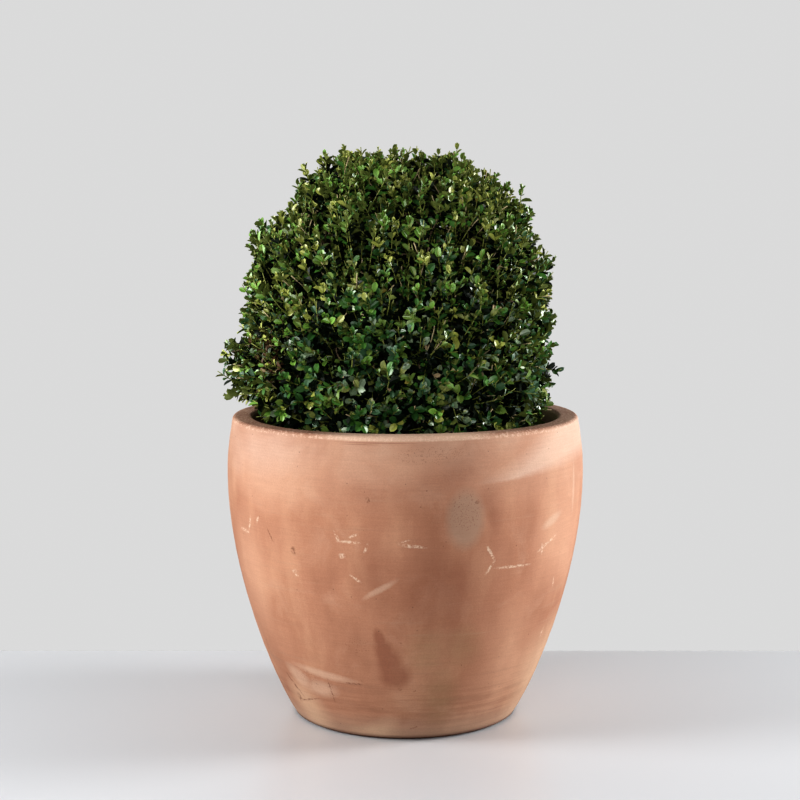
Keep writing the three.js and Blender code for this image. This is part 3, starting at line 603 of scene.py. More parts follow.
def limbs(paths, radii, sides):
    """Points and faces of closed limbs, each along its own row of points with a radius for each."""
    count, steps = paths.shape[:2]
    run = unit(np.gradient(paths, axis=1))
    whole = run.mean(axis=1)
    upright = np.abs(whole[:, 2:]) >= NEARLY_UPRIGHT
    aside = np.cross(whole, np.where(upright, (1, 0, 0), (0, 0, 1)))
    over = unit(np.cross(run, aside[:, None]))
    across = np.cross(over, run)
    turns = 2 * math.pi * np.arange(sides) / sides
    rings = (across[:, :, None] * np.cos(turns)[:, None] + over[:, :, None] * np.sin(turns)[:, None])
    radii = np.broadcast_to(radii, (count, steps, sides) if np.ndim(radii) == 3 else (count, steps))
    radii = radii if radii.ndim == 3 else radii[:, :, None]
    rings = paths[:, :, None] + rings * radii[..., None]
    points = np.concatenate([rings.reshape(count, -1, 3), paths[:, :1], paths[:, -1:]], axis=1)
    row, side = np.meshgrid(np.arange(steps - 1), np.arange(sides), indexing="ij")
    beside = (side + 1) % sides
    low, low_next = row * sides + side, row * sides + beside
    skin = np.concatenate([np.stack([low, low_next, low_next + sides], axis=2).reshape(-1, 3),
                           np.stack([low, low_next + sides, low + sides], axis=2).reshape(-1, 3)])
    first, next_one = np.arange(sides), (np.arange(sides) + 1) % sides
    foot, tip = steps * sides, steps * sides + 1
    last = (steps - 1) * sides
    ends = np.concatenate([np.column_stack([next_one, first, np.full(sides, foot)]),
                           np.column_stack([last + first, last + next_one, np.full(sides, tip)])])
    faces = np.concatenate([skin, ends])
    faces = faces + (steps * sides + 2) * np.arange(count)[:, None, None]
    return points.reshape(-1, 3), faces.reshape(-1, 3)


trunk_handles = [(0, 0, COMPOST_TOP + CLEARANCE), (0, 0, COMPOST_TOP + TRUNK_HOLD),
                 TRUNK_TOP - (0, 0, TOP_HOLD), TRUNK_TOP]


def bough_handles(azimuth, elevation, fork_height):
    """The curve of the bough that leaves the trunk at a height and points towards its mass."""
    aim = aim_at(azimuth, elevation)
    end = CROWN_CENTRE + aim * BOUGH_SHARE * crown_reach(aim)[0]
    if fork_height == TRUNK_TOP[2]:
        foot = TRUNK_TOP + (0, 0, CLEARANCE)
        return [foot, foot + (0, 0, LEADER_HOLD), end - (0, 0, LEADER_HOLD), end]
    foot = along_curve(trunk_handles, (fork_height - COMPOST_TOP) / (TRUNK_TOP[2] - COMPOST_TOP))
    bend = foot + BEND_SHARE * (end - foot)
    bend[2] = foot[2] + BEND_RISE
    return [foot, bend, end]


BARK_ROUND, BARK_ALONG = 2.2, 60         # how close ridges and knots lie, round and along a limb
FURROW_STRETCH, KNOT_STRETCH = (1, 1, 0.5), (0.6, 0.6, 0.9)
KNOT_START = 40          # where in the noise the knots lie
RIDGE_WIDTH, RIDGE_LEVEL, KNOT_SHARE = 0.7, 0.6, 0.8    # ridges are broad below 1, and knots add to them
BARK_FADE = 20           # the bark's relief fades within a twentieth of a limb's ends


def bark_limb(name, handles, radius_at, sides, steps, depth):
    """A limb along a curve, with ridges and fissures of a given depth that run along it."""
    shares = np.linspace(0, 1, steps)
    path = along_curve(handles, shares)
    turns = 2 * math.pi * np.arange(sides) / sides
    along, around = np.meshgrid(shares, turns, indexing="ij")
    length = np.linalg.norm(np.diff(path, axis=0), axis=1).sum()
    places = np.stack([np.cos(around) * BARK_ROUND, np.sin(around) * BARK_ROUND,
                       along * length * BARK_ALONG], axis=2).reshape(-1, 3)
    ridges = 2 * np.abs(grain(places, FURROW_STRETCH, len(name))) ** RIDGE_WIDTH
    knots = KNOT_SHARE * grain(places, KNOT_STRETCH, KNOT_START)
    relief = depth * (ridges - RIDGE_LEVEL + knots).reshape(along.shape)
    radii = radius_at(along, around) + relief * np.clip(np.minimum(along, 1 - along) * BARK_FADE, 0, 1)
    return limbs(path[None], radii[None], sides)


# Box bark: thin, finely fissured, corky and dull, grey on the ridges and brown down in the cracks.
box_bark, tree, shader = new_material("fissured_box_bark")
CRACK = (420, 420, 110)  # cracks about 2 mm apart and 9 mm long
MOTTLE = 90              # paler and darker cork, about 11 mm apart
place = add(tree, "TexCoord").outputs["Object"]
long_place = add(tree, "VectorMath", {0: place, 1: CRACK}, operation="MULTIPLY")
fissure = add(tree, "TexVoronoi", {"Vector": long_place, "Scale": 1}, feature="DISTANCE_TO_EDGE")
mottle = add(tree, "TexNoise", {"Vector": place, "Scale": MOTTLE, "Detail": 5})
ridge = add(tree, "MapRange", {"Value": fissure, "From Min": 0.02, "From Max": 0.25})
cork = add(tree, "Mix", {0: mottle, 6: colour("#7c6a52"), 7: colour("#a3967f")}, data_type="RGBA")
cork = add(tree, "Mix", {0: ridge, 6: colour("#42342a"), 7: cork}, data_type="RGBA")
bump = add(tree, "Bump", {"Height": ridge, "Strength": 0.6, "Distance": 0.0008})
tree.links.new(cork.outputs[2], shader.inputs["Base Color"])
tree.links.new(bump.outputs[0], shader.inputs["Normal"])
shader.inputs["Roughness"].default_value = 0.88

trunk_points, trunk_faces = bark_limb(
    "trunk", trunk_handles,
    lambda along, around: (TRUNK_RADIUS - TRUNK_TAPER * along + TRUNK_FLARE * (1 - along) ** FLARE_POWER
                           * (1 + FLUTE_DEPTH * np.cos(FLUTES * around))),
    sides=60, steps=70, depth=0.0009)
trunk = mesh_piece("fissured_trunk", trunk_points, trunk_faces, [box_bark])
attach(trunk, "root")
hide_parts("trunk")

for name, azimuth, elevation, fork_height in MASSES:
    points, faces = bark_limb(
        name, bough_handles(azimuth, elevation, fork_height),
        lambda along, around: BOUGH_RADIUS + (BOUGH_TIP_RADIUS - BOUGH_RADIUS) * along,
        sides=24, steps=60, depth=0.0005)
    bough = mesh_piece("fissured_bough_" + name, points, faces, [box_bark])
    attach(bough, "root")
    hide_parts("bough_" + name)


# ------------------------------------------------------------------------------------- twigs
# From the end of each bough a stem goes on into its mass. Branches fan out from the stem's end to the
# clipped surface, side twigs leave the branches, and leafy shoots leave both.

BRANCH_COUNT = 88        # directions dealt over a whole sphere round the crown's centre
SIDE_TWIG_COUNT = 640
SHOOT_COUNT = 4300
LOWEST_SHOOT = -42       # degrees below level
STEM_SHARE = 0.64        # where a stem ends, of the crown's reach
STEM_HOLD = 0.5          # how far it keeps its bough's direction, of its length
BRANCH_TURN = 0.6        # where branches have turned to their aim, of the crown's reach
BRANCH_TIP_BELOW = 0.0257
STEM_STEPS, BRANCH_STEPS, SIDE_TWIG_STEPS, SHOOT_STEPS = 12, 10, 8, 8
BRANCH_BARE, SIDE_TWIG_BARE = 4, 3      # their first steps, which carry no shoots
LOW_SIDE_TWIGS = 4       # degrees that side twigs go further down than the shoots
SIDE_TWIG_LEAVES = (0.3, 0.75)          # where a side twig leaves its branch, of the branch's length
SIDE_TWIG_ENDS = (0.78, 0.86)           # of the crown's reach
SIDE_TWIG_BEND, SIDE_TWIG_CROOK, SIDE_TWIG_LIFT = 0.55, 0.012, 0.006
SIDE_TWIG_STRAY, SHOOT_STRAY = 0.03, 0.014      # of their aims from an even spread
TIP_DEPTH = 0.02         # shoots end up to this far below the clipped surface
TIP_CROWDING = 1.3       # above 1, more of them end near it
LONG_SHOOTS = 0.1        # share that has grown on past it since the last clip
LONG_BY = (0.002, 0.012)
# Tufts with gaps between them, and fewer deep hollows: how close they lie, where, and how deep they go.
GAP_CLOSENESS, GAP_START, GAP_LEVEL, GAP_DEPTH = 9, 3, 0.1, 0.018
HOLLOW_CLOSENESS, HOLLOW_START, HOLLOW_EDGES, HOLLOW_DEPTH = (6, 6, 5), 11, (0.1, 0.35), 0.04
OUTWARD, UPWARD, UPWARD_ON_TOP = 0.65, 0.62, 0.35       # where shoots head
HEADING_STRAY = 0.24
SHOOT_LENGTH = 0.07
SHOOT_LENGTHS = (0.75, 1.15)            # as shares of it
SHOOT_BEND = 0.6         # how far down a shoot its heading holds, of its length
VIGOUR, VIGOUR_LOST_ON_TOP, VIGOURS = 1.02, 0.08, (0.78, 1.2)   # this sizes a shoot's leaves
DEAD_SHARE = 0.012
RIM_CLEARANCE, COMPOST_CLEARANCE = 0.003, 0.008

# Shoots that have grown out past the clipped surface since the last clip: degrees round and up, and how
# far past the surface each reaches.
STRAY_SHOOTS = [(180, -14, 0.05), (186, -5, 0.026), (176, -21, 0.044), (172, -2, 0.014),
                (191, -18, 0.036), (182, -26, 0.05), (181, 28, 0.022), (233, 62, 0.012), (176, 8, 0.012)]
# Lumps on the clipped surface and hollows in it, where growth is strong or thin: degrees round and up,
# half width and half height in degrees, and rise.
LUMPS = [(184, 62, 28, 10, 0.015), (180, 30, 12, 6, 0.012), (180, 43, 18, 8, -0.022),
         (2, 68, 30, 9, 0.01), (4, 32, 12, 6, -0.012), (271, 22, 4, 12, -0.05),
         (300, 34, 6, 9, -0.035), (243, -8, 7, 7, -0.03), (284, -14, 9, 6, -0.035),
         (318, 12, 5, 9, -0.03), (225, 30, 6, 5, -0.03), (262, 47, 8, 5, -0.025),
         (30, 20, 7, 9, -0.035), (75, -5, 8, 7, -0.035), (110, 30, 6, 9, -0.03), (150, 8, 7, 8, -0.035)]
LUMP_EDGE, LUMP_FLATNESS = 1.2, 0.7     # where a lump ends, of its half sizes, and below 1 a flat middle


def golden_aims(count, lowest):
    """Directions spread evenly over a sphere, each turned by the golden angle from the last."""
    order = np.arange(count)
    height = 1 - (2 * order + 1) / count
    turn = order * math.pi * (3 - math.sqrt(5))
    across = np.sqrt(1 - height ** 2)
    aims = np.column_stack([across * np.cos(turn), across * np.sin(turn), height])
    return aims[height > math.sin(math.radians(lowest))]


mass_aims = np.array([aim_at(azimuth, elevation) for name, azimuth, elevation, fork_height in MASSES])
stem_ends = CROWN_CENTRE + STEM_SHARE * mass_aims * crown_reach(mass_aims)[:, None]
bough_ends = np.array([bough_handles(*mass[1:])[-1] for mass in MASSES])
bough_runs = unit(bough_ends - [bough_handles(*mass[1:])[-2] for mass in MASSES])
stem_lengths = np.linalg.norm(stem_ends - bough_ends, axis=1)
stem_bends = bough_ends + STEM_HOLD * bough_runs * stem_lengths[:, None]


def clear_of_pot(points):
    """Whether points lie clear of the pot's rim and wall and above the compost."""
    across = np.hypot(points[..., 0], points[..., 1])
    above = points[..., 2] > POT_HEIGHT + RIM_CLEARANCE
    inside = across < RIM_RADIUS - WALL - RIM_CLEARANCE
    return (above | inside) & (points[..., 2] > COMPOST_TOP + COMPOST_CLEARANCE)


# Branches: one to each direction, from the stem's end, bending to come out straight towards its aim.
branch_aims = golden_aims(BRANCH_COUNT, LOWEST_SHOOT)
branch_reach = crown_reach(branch_aims)
stray_aims = np.array([aim_at(azimuth, elevation) for azimuth, elevation, past in STRAY_SHOOTS])
stray_past = np.array([past for azimuth, elevation, past in STRAY_SHOOTS])
branch_aims = np.vstack([branch_aims, stray_aims])
branch_reach = np.concatenate([branch_reach, crown_reach(stray_aims) + stray_past])
branch_mass = np.argmax(branch_aims @ mass_aims.T, axis=1)
branch_paths = np.array([
    along_curve([stem_ends[mass], CROWN_CENTRE + BRANCH_TURN * reach * aim,
                 CROWN_CENTRE + (reach - BRANCH_TIP_BELOW) * aim], np.linspace(0, 1, BRANCH_STEPS))
    for aim, reach, mass in zip(branch_aims, branch_reach, branch_mass)])

# Side twigs: each leaves the nearest branch of its mass part of the way up.
side_aims = golden_aims(SIDE_TWIG_COUNT, LOWEST_SHOOT - LOW_SIDE_TWIGS)
side_aims = unit(side_aims + dice.normal(0, SIDE_TWIG_STRAY, side_aims.shape))
side_mass = np.argmax(side_aims @ mass_aims.T, axis=1)
side_paths = []
for aim, mass in zip(side_aims, side_mass):
    own = np.flatnonzero(branch_mass == mass)
    branch = own[np.argmax(branch_aims[own] @ aim)]
    leave = dice.uniform(*SIDE_TWIG_LEAVES) * (BRANCH_STEPS - 1)
    root = branch_paths[branch][int(leave)]
    root = root + (branch_paths[branch][int(leave) + 1] - root) * (leave % 1)
    tip = CROWN_CENTRE + aim * crown_reach(aim)[0] * dice.uniform(*SIDE_TWIG_ENDS)
    bend = root + SIDE_TWIG_BEND * (tip - root) + SIDE_TWIG_CROOK * dice.normal(0, 1, 3)
    bend[2] += SIDE_TWIG_LIFT
    side_paths.append(along_curve([root, bend, tip], np.linspace(0, 1, SIDE_TWIG_STEPS)))
side_paths = np.array(side_paths)

# Leafy shoots: they crowd the surface, turn up towards the light, and each leaves the twig nearest to
# where it would start. Tufts of them stand a little proud, and hollows lie between.
aims = golden_aims(SHOOT_COUNT, LOWEST_SHOOT)
aims = unit(aims + dice.normal(0, SHOOT_STRAY, aims.shape))
depth = TIP_DEPTH * dice.uniform(0, 1, len(aims)) ** TIP_CROWDING
depth += GAP_DEPTH * (grain(aims, GAP_CLOSENESS, GAP_START) + GAP_LEVEL)
long = dice.uniform(0, 1, len(aims)) < LONG_SHOOTS
depth -= np.where(long, dice.uniform(*LONG_BY, len(aims)), 0)
depth += HOLLOW_DEPTH * rising(grain(aims, HOLLOW_CLOSENESS, HOLLOW_START), *HOLLOW_EDGES)
aim_turn = np.degrees(np.arctan2(aims[:, 1], aims[:, 0]))
aim_lift = np.degrees(np.arcsin(aims[:, 2]))
for azimuth, elevation, half_width, half_height, lump in LUMPS:
    beside = (aim_turn - azimuth + 180) % 360 - 180
    beside = beside * np.cos(np.radians(aim_lift)) / half_width
    far = np.hypot(beside, (aim_lift - elevation) / half_height)
    depth -= lump * np.clip(LUMP_EDGE - far, 0, 1) ** LUMP_FLATNESS
tips = CROWN_CENTRE + aims * (crown_reach(aims) - depth)[:, None]
upward = UPWARD + UPWARD_ON_TOP * aims[:, 2:]
heading = unit(OUTWARD * aims + upward * (0, 0, 1) + dice.normal(0, HEADING_STRAY, aims.shape))
length = SHOOT_LENGTH * dice.uniform(*SHOOT_LENGTHS, len(aims))
vigour = (VIGOUR - VIGOUR_LOST_ON_TOP * aims[:, 2]) * dice.uniform(*VIGOURS, len(aims))

# Each stray shoot stands in a loose tuft of its own, with larger leaves. It is the tuft's first and
# longest one, and the others spread beside it and end behind it.
TUFT = 20
TUFT_SPREAD = 0.085
TUFT_BACK, TUFT_BACK_SHARE, TUFT_BACK_MORE = 0.014, 0.8, 0.012
TUFT_UPWARD, TUFT_STRAY = 0.35, 0.2
TUFT_LENGTHS, TUFT_VIGOURS = (0.8, 1.2), (1.02, 1.22)
for aim, past in zip(stray_aims, stray_past):
    beside = unit(aim + dice.normal(0, TUFT_SPREAD, (TUFT, 3)))
    back = TUFT_BACK + (TUFT_BACK_SHARE * past + TUFT_BACK_MORE) * dice.uniform(0, 1, TUFT)
    back[0], beside[0] = TUFT_BACK, aim
    tuft_heading = unit(beside + (0, 0, TUFT_UPWARD) + dice.normal(0, TUFT_STRAY, (TUFT, 3)))
    tips = np.vstack([tips, CROWN_CENTRE + beside * (crown_reach(aim)[0] + past - back)[:, None]])
    heading = np.vstack([heading, tuft_heading])
    length = np.concatenate([length, SHOOT_LENGTH * dice.uniform(*TUFT_LENGTHS, TUFT)])
    vigour = np.concatenate([vigour, dice.uniform(*TUFT_VIGOURS, TUFT)])

carriers = np.concatenate([side_paths[:, SIDE_TWIG_BARE:].reshape(-1, 3),
                           branch_paths[:, BRANCH_BARE:-1].reshape(-1, 3)])
carrier_mass = np.concatenate([np.repeat(side_mass, SIDE_TWIG_STEPS - SIDE_TWIG_BARE),
                               np.repeat(branch_mass, BRANCH_STEPS - BRANCH_BARE - 1)])
nearest = kdtree.KDTree(len(carriers))
for i, point in enumerate(carriers):
    nearest.insert(point, i)
nearest.balance()
shoot_carrier = np.array([nearest.find(start)[1] for start in tips - heading * length[:, None]])
shoot_mass = carrier_mass[shoot_carrier]
roots = carriers[shoot_carrier]
bends = tips - SHOOT_BEND * heading * length[:, None]
shares = np.linspace(0, 1, SHOOT_STEPS)[None, :, None]
shoot_paths = (roots[:, None] * (1 - shares) ** 2 + 2 * bends[:, None] * shares * (1 - shares)
               + tips[:, None] * shares ** 2)
keep = clear_of_pot(shoot_paths).all(axis=1)
shoot_paths, shoot_mass, heading = shoot_paths[keep], shoot_mass[keep], heading[keep]
tips, vigour = tips[keep], vigour[keep]
shoot_total = len(shoot_paths)

# Stubs: what the shears have left of stout shoots, standing among the leaves.
STUBS = 800
STUB_LENGTHS = (0.014, 0.036)
STUB_FOOT = -4           # the step of its shoot that a stub stands on
STUB_STRAY = 0.35
stub_root = dice.choice(shoot_total, STUBS, replace=False)
stub_foot = shoot_paths[stub_root, STUB_FOOT]
stub_run = unit(heading[stub_root] + dice.normal(0, STUB_STRAY, (STUBS, 3)))
stub_run *= dice.uniform(*STUB_LENGTHS, (STUBS, 1))
stub_paths = stub_foot[:, None] + stub_run[:, None] * shares[:, ::3]


def plain_material(name, hex_code, roughness):
    """A material of one colour, for what is too small to show a pattern of its own."""
    material, tree, shader = new_material(name)
    shader.inputs["Base Color"].default_value = colour(hex_code)
    shader.inputs["Roughness"].default_value = roughness
    return material


# Old twigs of box are smooth, dull and grey-brown. This year's shoots are still green, with a silky
# skin. Cut and dead shoots are bleached, dry wood.
old_twig = plain_material("grey_brown_twig_bark", "#6b5c49", 0.8)
young_twig = plain_material("green_shoot_skin", "#8f9550", 0.45)
dead_twig = plain_material("bleached_dead_wood", "#b3a483", 0.8)

STEM_TIP_RADIUS = 0.0036
SHOOT_MESH_STEPS = [0, 2, 4, 6, 7]      # the steps of a shoot that its mesh keeps
OLD_BARK, YOUNG_BARK, DEAD_BARK = 0, 1, 2
shoot_dead = dice.uniform(0, 1, shoot_total) < DEAD_SHARE
for index, (name, azimuth, elevation, fork_height) in enumerate(MASSES):
    stem = along_curve([bough_ends[index] + CLEARANCE * bough_runs[index], stem_bends[index],
                        stem_ends[index]], np.linspace(0, 1, STEM_STEPS))[None]
    live_shoots, dead_shoots = [shoot_paths[(shoot_mass == index) & chosen][:, SHOOT_MESH_STEPS]
                                for chosen in (~shoot_dead, shoot_dead)]
    grown = []
    for paths, root_radius, tip_radius, sides, bark in [
            (stem, BOUGH_TIP_RADIUS, STEM_TIP_RADIUS, 8, OLD_BARK),
            (branch_paths[branch_mass == index], 0.003, 0.0014, 4, OLD_BARK),
            (side_paths[side_mass == index], 0.0017, 0.001, 3, OLD_BARK),
            (live_shoots, 0.0011, 0.0007, 3, YOUNG_BARK),
            (dead_shoots, 0.0013, 0.0008, 3, DEAD_BARK),
            (stub_paths[shoot_mass[stub_root] == index], 0.0011, 0.0009, 3, DEAD_BARK)]:
        if len(paths):
            radii = np.linspace(root_radius, tip_radius, paths.shape[1])[None, :]
            points, faces = limbs(paths, radii, sides)
            grown.append((points, faces, np.full(len(faces), bark)))
    points, faces, slots = zip(*grown)
    starts = np.cumsum([0] + [len(own) for own in points])
    faces = np.concatenate([own + start for own, start in zip(faces, starts)])
    twigs = mesh_piece("twigs_" + name, np.concatenate(points), faces,
                       [old_twig, young_twig, dead_twig], np.concatenate(slots))
    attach(twigs, "root")
    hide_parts("foliage_" + name)


# ------------------------------------------------------------------------------------- leaves
# Small, leathery, glossy evergreen leaves in opposite pairs, each pair turned a quarter from the last.
# They are broadest in the middle, folded along the rib, bent back a little, and paler underneath.

LEAF_LENGTH = 0.0153
LEAF_WIDTH = 0.0089
LEAF_FOLD = 0.0023       # how far the edges rise above the rib
LEAF_SIZES = (0.86, 1.12)
TURN_STRAY, LEAN_STRAY = 0.2, 9         # in radians round the shoot, and in degrees away from it
FACE_OUT, FACE_UP, FACE_STRAY = 0.25, 0.2, 0.5          # how far blades turn out, up and any way
MISSING_SHARE = 0.06
CLIPPED_SHARE, CLIPPED_PAIRS = 0.42, 2  # shoots cut back, and the pairs that they have lost
DEAD_KEEP = 0.12         # share of its leaves that a dead shoot keeps
# Each pair below the tip: how far below it, the leaves' size, and degrees between leaf and shoot.
LEAF_PAIRS = [(0.0015, 0.48, 16), (0.006, 0.74, 30), (0.0135, 0.94, 42), (0.0225, 1.02, 52),
              (0.033, 1.02, 60), (0.0445, 0.98, 66), (0.056, 0.95, 68), (0.067, 0.9, 70)]

# Half a leaf's blade from root to tip along its edge, and the middle of its rib: across as a share of
# its half width, along as a share of its length, and raised as a share of its fold.
HALF_BLADE = np.array([(0, 0, 0), (0.62, 0.17, 0.75), (1, 0.5, 1), (0.82, 0.83, 0.6), (0, 1, -0.35),
                       (0, 0.5, 0.22)])
THICKNESS = (0, 0, 0.03)                # the underside lies below, as a skin of its own
UNDER_MIDDLE = (0, 0.5, -0.05)
other_half = HALF_BLADE * (-1, 1, 1)
leaf_form = np.concatenate([other_half, HALF_BLADE, other_half[:5] - THICKNESS,
                            HALF_BLADE[3:0:-1] - THICKNESS, [UNDER_MIDDLE]])
left_faces = np.array([(0, 5, 1), (1, 5, 2), (2, 5, 3), (3, 5, 4)])
right_faces = left_faces[:, ::-1] + len(HALF_BLADE)
under_ring = np.arange(2 * len(HALF_BLADE), len(leaf_form) - 1)
under_middle = np.full(len(under_ring), len(leaf_form) - 1)
under_faces = np.column_stack([under_ring, np.roll(under_ring, -1), under_middle])
leaf_faces = np.concatenate([left_faces, right_faces, under_faces])
UPPER_FACES = len(left_faces) + len(right_faces)

# Leaf colours, each a plain one: hex, roughness, and how often a spray has it.
LEAF_KINDS = [
    ("deep_green_box_leaf", "#3b6233", 0.31, 0.3),
    ("mid_green_box_leaf", "#54823d", 0.32, 0.28),
    ("warm_green_box_leaf", "#7b954c", 0.34, 0.2),
    ("bluish_box_leaf", "#4b6c4f", 0.32, 0.15),
    ("olive_box_leaf", "#9ca361", 0.38, 0.07),
    # A grey tint that paints the soft lamps' sheen on low sprays; only they are dealt it.
    ("grey_sheen_painted_leaf", "#84957a", 0.34, 0),
]
LIT_SLOTS = (1, 3)       # from mid green up to warm green
BLUISH_SLOT, GREY_SHEEN_SLOT = 3, 5
YOUNG_KINDS = [("lime_young_leaf", "#b4ba66", 0.38), ("fresh_young_leaf", "#83ac51", 0.34)]
SPENT_KINDS = [("yellowed_box_leaf", "#a99d50", 0.42), ("dry_box_leaf", "#b3a080", 0.6),
               ("bronzed_box_leaf", "#6d5540", 0.5)]
UNDER_KIND = ("pale_leaf_underside", "#6e7842", 0.5)
# Near-black: the darker green of old leaves, deepened to paint the shade inside the crown.
OLD_SHADED_KIND = ("old_leaf_painted_shade", "#142011", 0.42)
DULL_KINDS = ("dry_box_leaf", "bronzed_box_leaf", "pale_leaf_underside", "old_leaf_painted_shade")
DULL_GLOSS = 0.25
YOUNG_SLOT = len(LEAF_KINDS)
YELLOWED_SLOT = YOUNG_SLOT + len(YOUNG_KINDS)
DRY_SLOT, BRONZED_SLOT, UNDER_SLOT, OLD_SHADED_SLOT = YELLOWED_SLOT + np.arange(1, 5)

# Evergreen box leaf: a waxed, leathery skin, so that the light lies on it as a small soft gleam. The
# old, near-black inner leaves of painted shade, dry and bronzed leaves and all undersides have lost it
# or never had it.
leaf_materials = [plain_material(*kind[:3]) for kind in
                  LEAF_KINDS + YOUNG_KINDS + SPENT_KINDS + [UNDER_KIND, OLD_SHADED_KIND]]
for material in leaf_materials:
    shader = material.node_tree.nodes["Principled BSDF"]
    shader.inputs["Specular IOR Level"].default_value = DULL_GLOSS if material.name in DULL_KINDS else 1

# Low down many sprays are dealt a greyish or bluish tint, a painted sheen where the soft lamps gleam on
# them. Towards the top the sprays are dealt lighter greens, as painted light where the lamps fall, and
# fewer of the near-black inner leaves, which are painted shade, are left. Most tips are young towards
# the
# top and to the left: partly new growth, partly painted light on the lit side. Each has its share at the
# most, and the heights in metres, or the distances to the left, between which the share rises.
LOW_SHEEN, BLUISH_SHARE = (0.4, 0.7, 0.5), 0.4
LIT, OLD_SHADED_LOST = (0.75, 0.66, 0.78), (0.5, 0.74, 0.84)
YOUNG_SHARE = 0.07       # of all sprays, wherever they are
YOUNG_HIGH, YOUNG_LEFT, YOUNG_TOP = (0.66, 0.58, 0.86), (0.28, 0.08, 0.22), (0.25, 0.78, 0.84)
LOOSE_SHARE = 0.35       # leaves that are older or younger than their spray, with a tint of their own
# The inner pairs' old leaves are near-black, as painted shade deep in the crown.
OLD_SHADED_SHARE = [0, 0, 0.04, 0.35, 0.75, 1, 1, 1]           # of each pair below the tip: the inner are old
YOUNG_PAIRS = 3          # at the tip of a young shoot
SPENT_SHARE, SPENT_SIZE = 0.007, 0.7
BRONZED_PATCH = (208, -10, 11, 9)       # degrees round and up, half width and half height
BRONZED_EDGE, BRONZED_CORE = 4 / 3, 0.5  # where it starts and is full, of its half sizes
BRONZED_SHARE = 0.5

side_place, tip_height = tips[:, 0], tips[:, 2]
odds = np.array([kind[3] for kind in LEAF_KINDS])
odds /= odds.sum()
shoot_kind = dice.choice(len(LEAF_KINDS), shoot_total, p=odds)
low_sheen_share = LOW_SHEEN[0] * rising(tip_height, *LOW_SHEEN[1:])
low_sheen_kind = np.where(dice.uniform(0, 1, shoot_total) < BLUISH_SHARE, BLUISH_SLOT, GREY_SHEEN_SLOT)
shoot_kind = np.where(dice.uniform(0, 1, shoot_total) < low_sheen_share, low_sheen_kind, shoot_kind)
# Lighter greens dealt towards the top: painted light.
lit_share = LIT[0] * rising(tip_height, *LIT[1:])
lit_kind = dice.integers(*LIT_SLOTS, shoot_total)
shoot_kind = np.where(dice.uniform(0, 1, shoot_total) < lit_share, lit_kind, shoot_kind)
# Fewer of the near-black leaves of painted shade towards the lit top.
old_shaded_left = 1 - OLD_SHADED_LOST[0] * rising(tip_height, *OLD_SHADED_LOST[1:])
# More young lime tips towards the top and to the left: partly new growth, partly painted light on the
# lit side.
young_share = YOUNG_SHARE + sum(
    share * rising(places, start, full) for places, (share, start, full) in [
        (tip_height, YOUNG_HIGH), (-side_place, YOUNG_LEFT), (tip_height, YOUNG_TOP)])
shoot_young = np.where(dice.uniform(0, 1, shoot_total) < young_share,
                       YOUNG_SLOT + dice.integers(0, 2, shoot_total), -1)
shoot_turn = dice.uniform(0, 2 * math.pi, shoot_total)
shoot_clipped = dice.uniform(0, 1, shoot_total) < CLIPPED_SHARE
tip_aim = unit(tips - CROWN_CENTRE)
patch_round = np.degrees(np.arctan2(tip_aim[:, 1], tip_aim[:, 0])) % 360 - BRONZED_PATCH[0]
patch_up = np.degrees(np.arcsin(tip_aim[:, 2])) - BRONZED_PATCH[1]
from_patch = np.hypot(patch_round / BRONZED_PATCH[2], patch_up / BRONZED_PATCH[3])
bronzed_share = BRONZED_SHARE * rising(from_patch, BRONZED_EDGE, BRONZED_CORE)
crossways = unit(np.cross(heading, dice.normal(0, 1, heading.shape)))
crossways_too = np.cross(heading, crossways)
last_step = np.linalg.norm(shoot_paths[:, -2] - tips, axis=1)

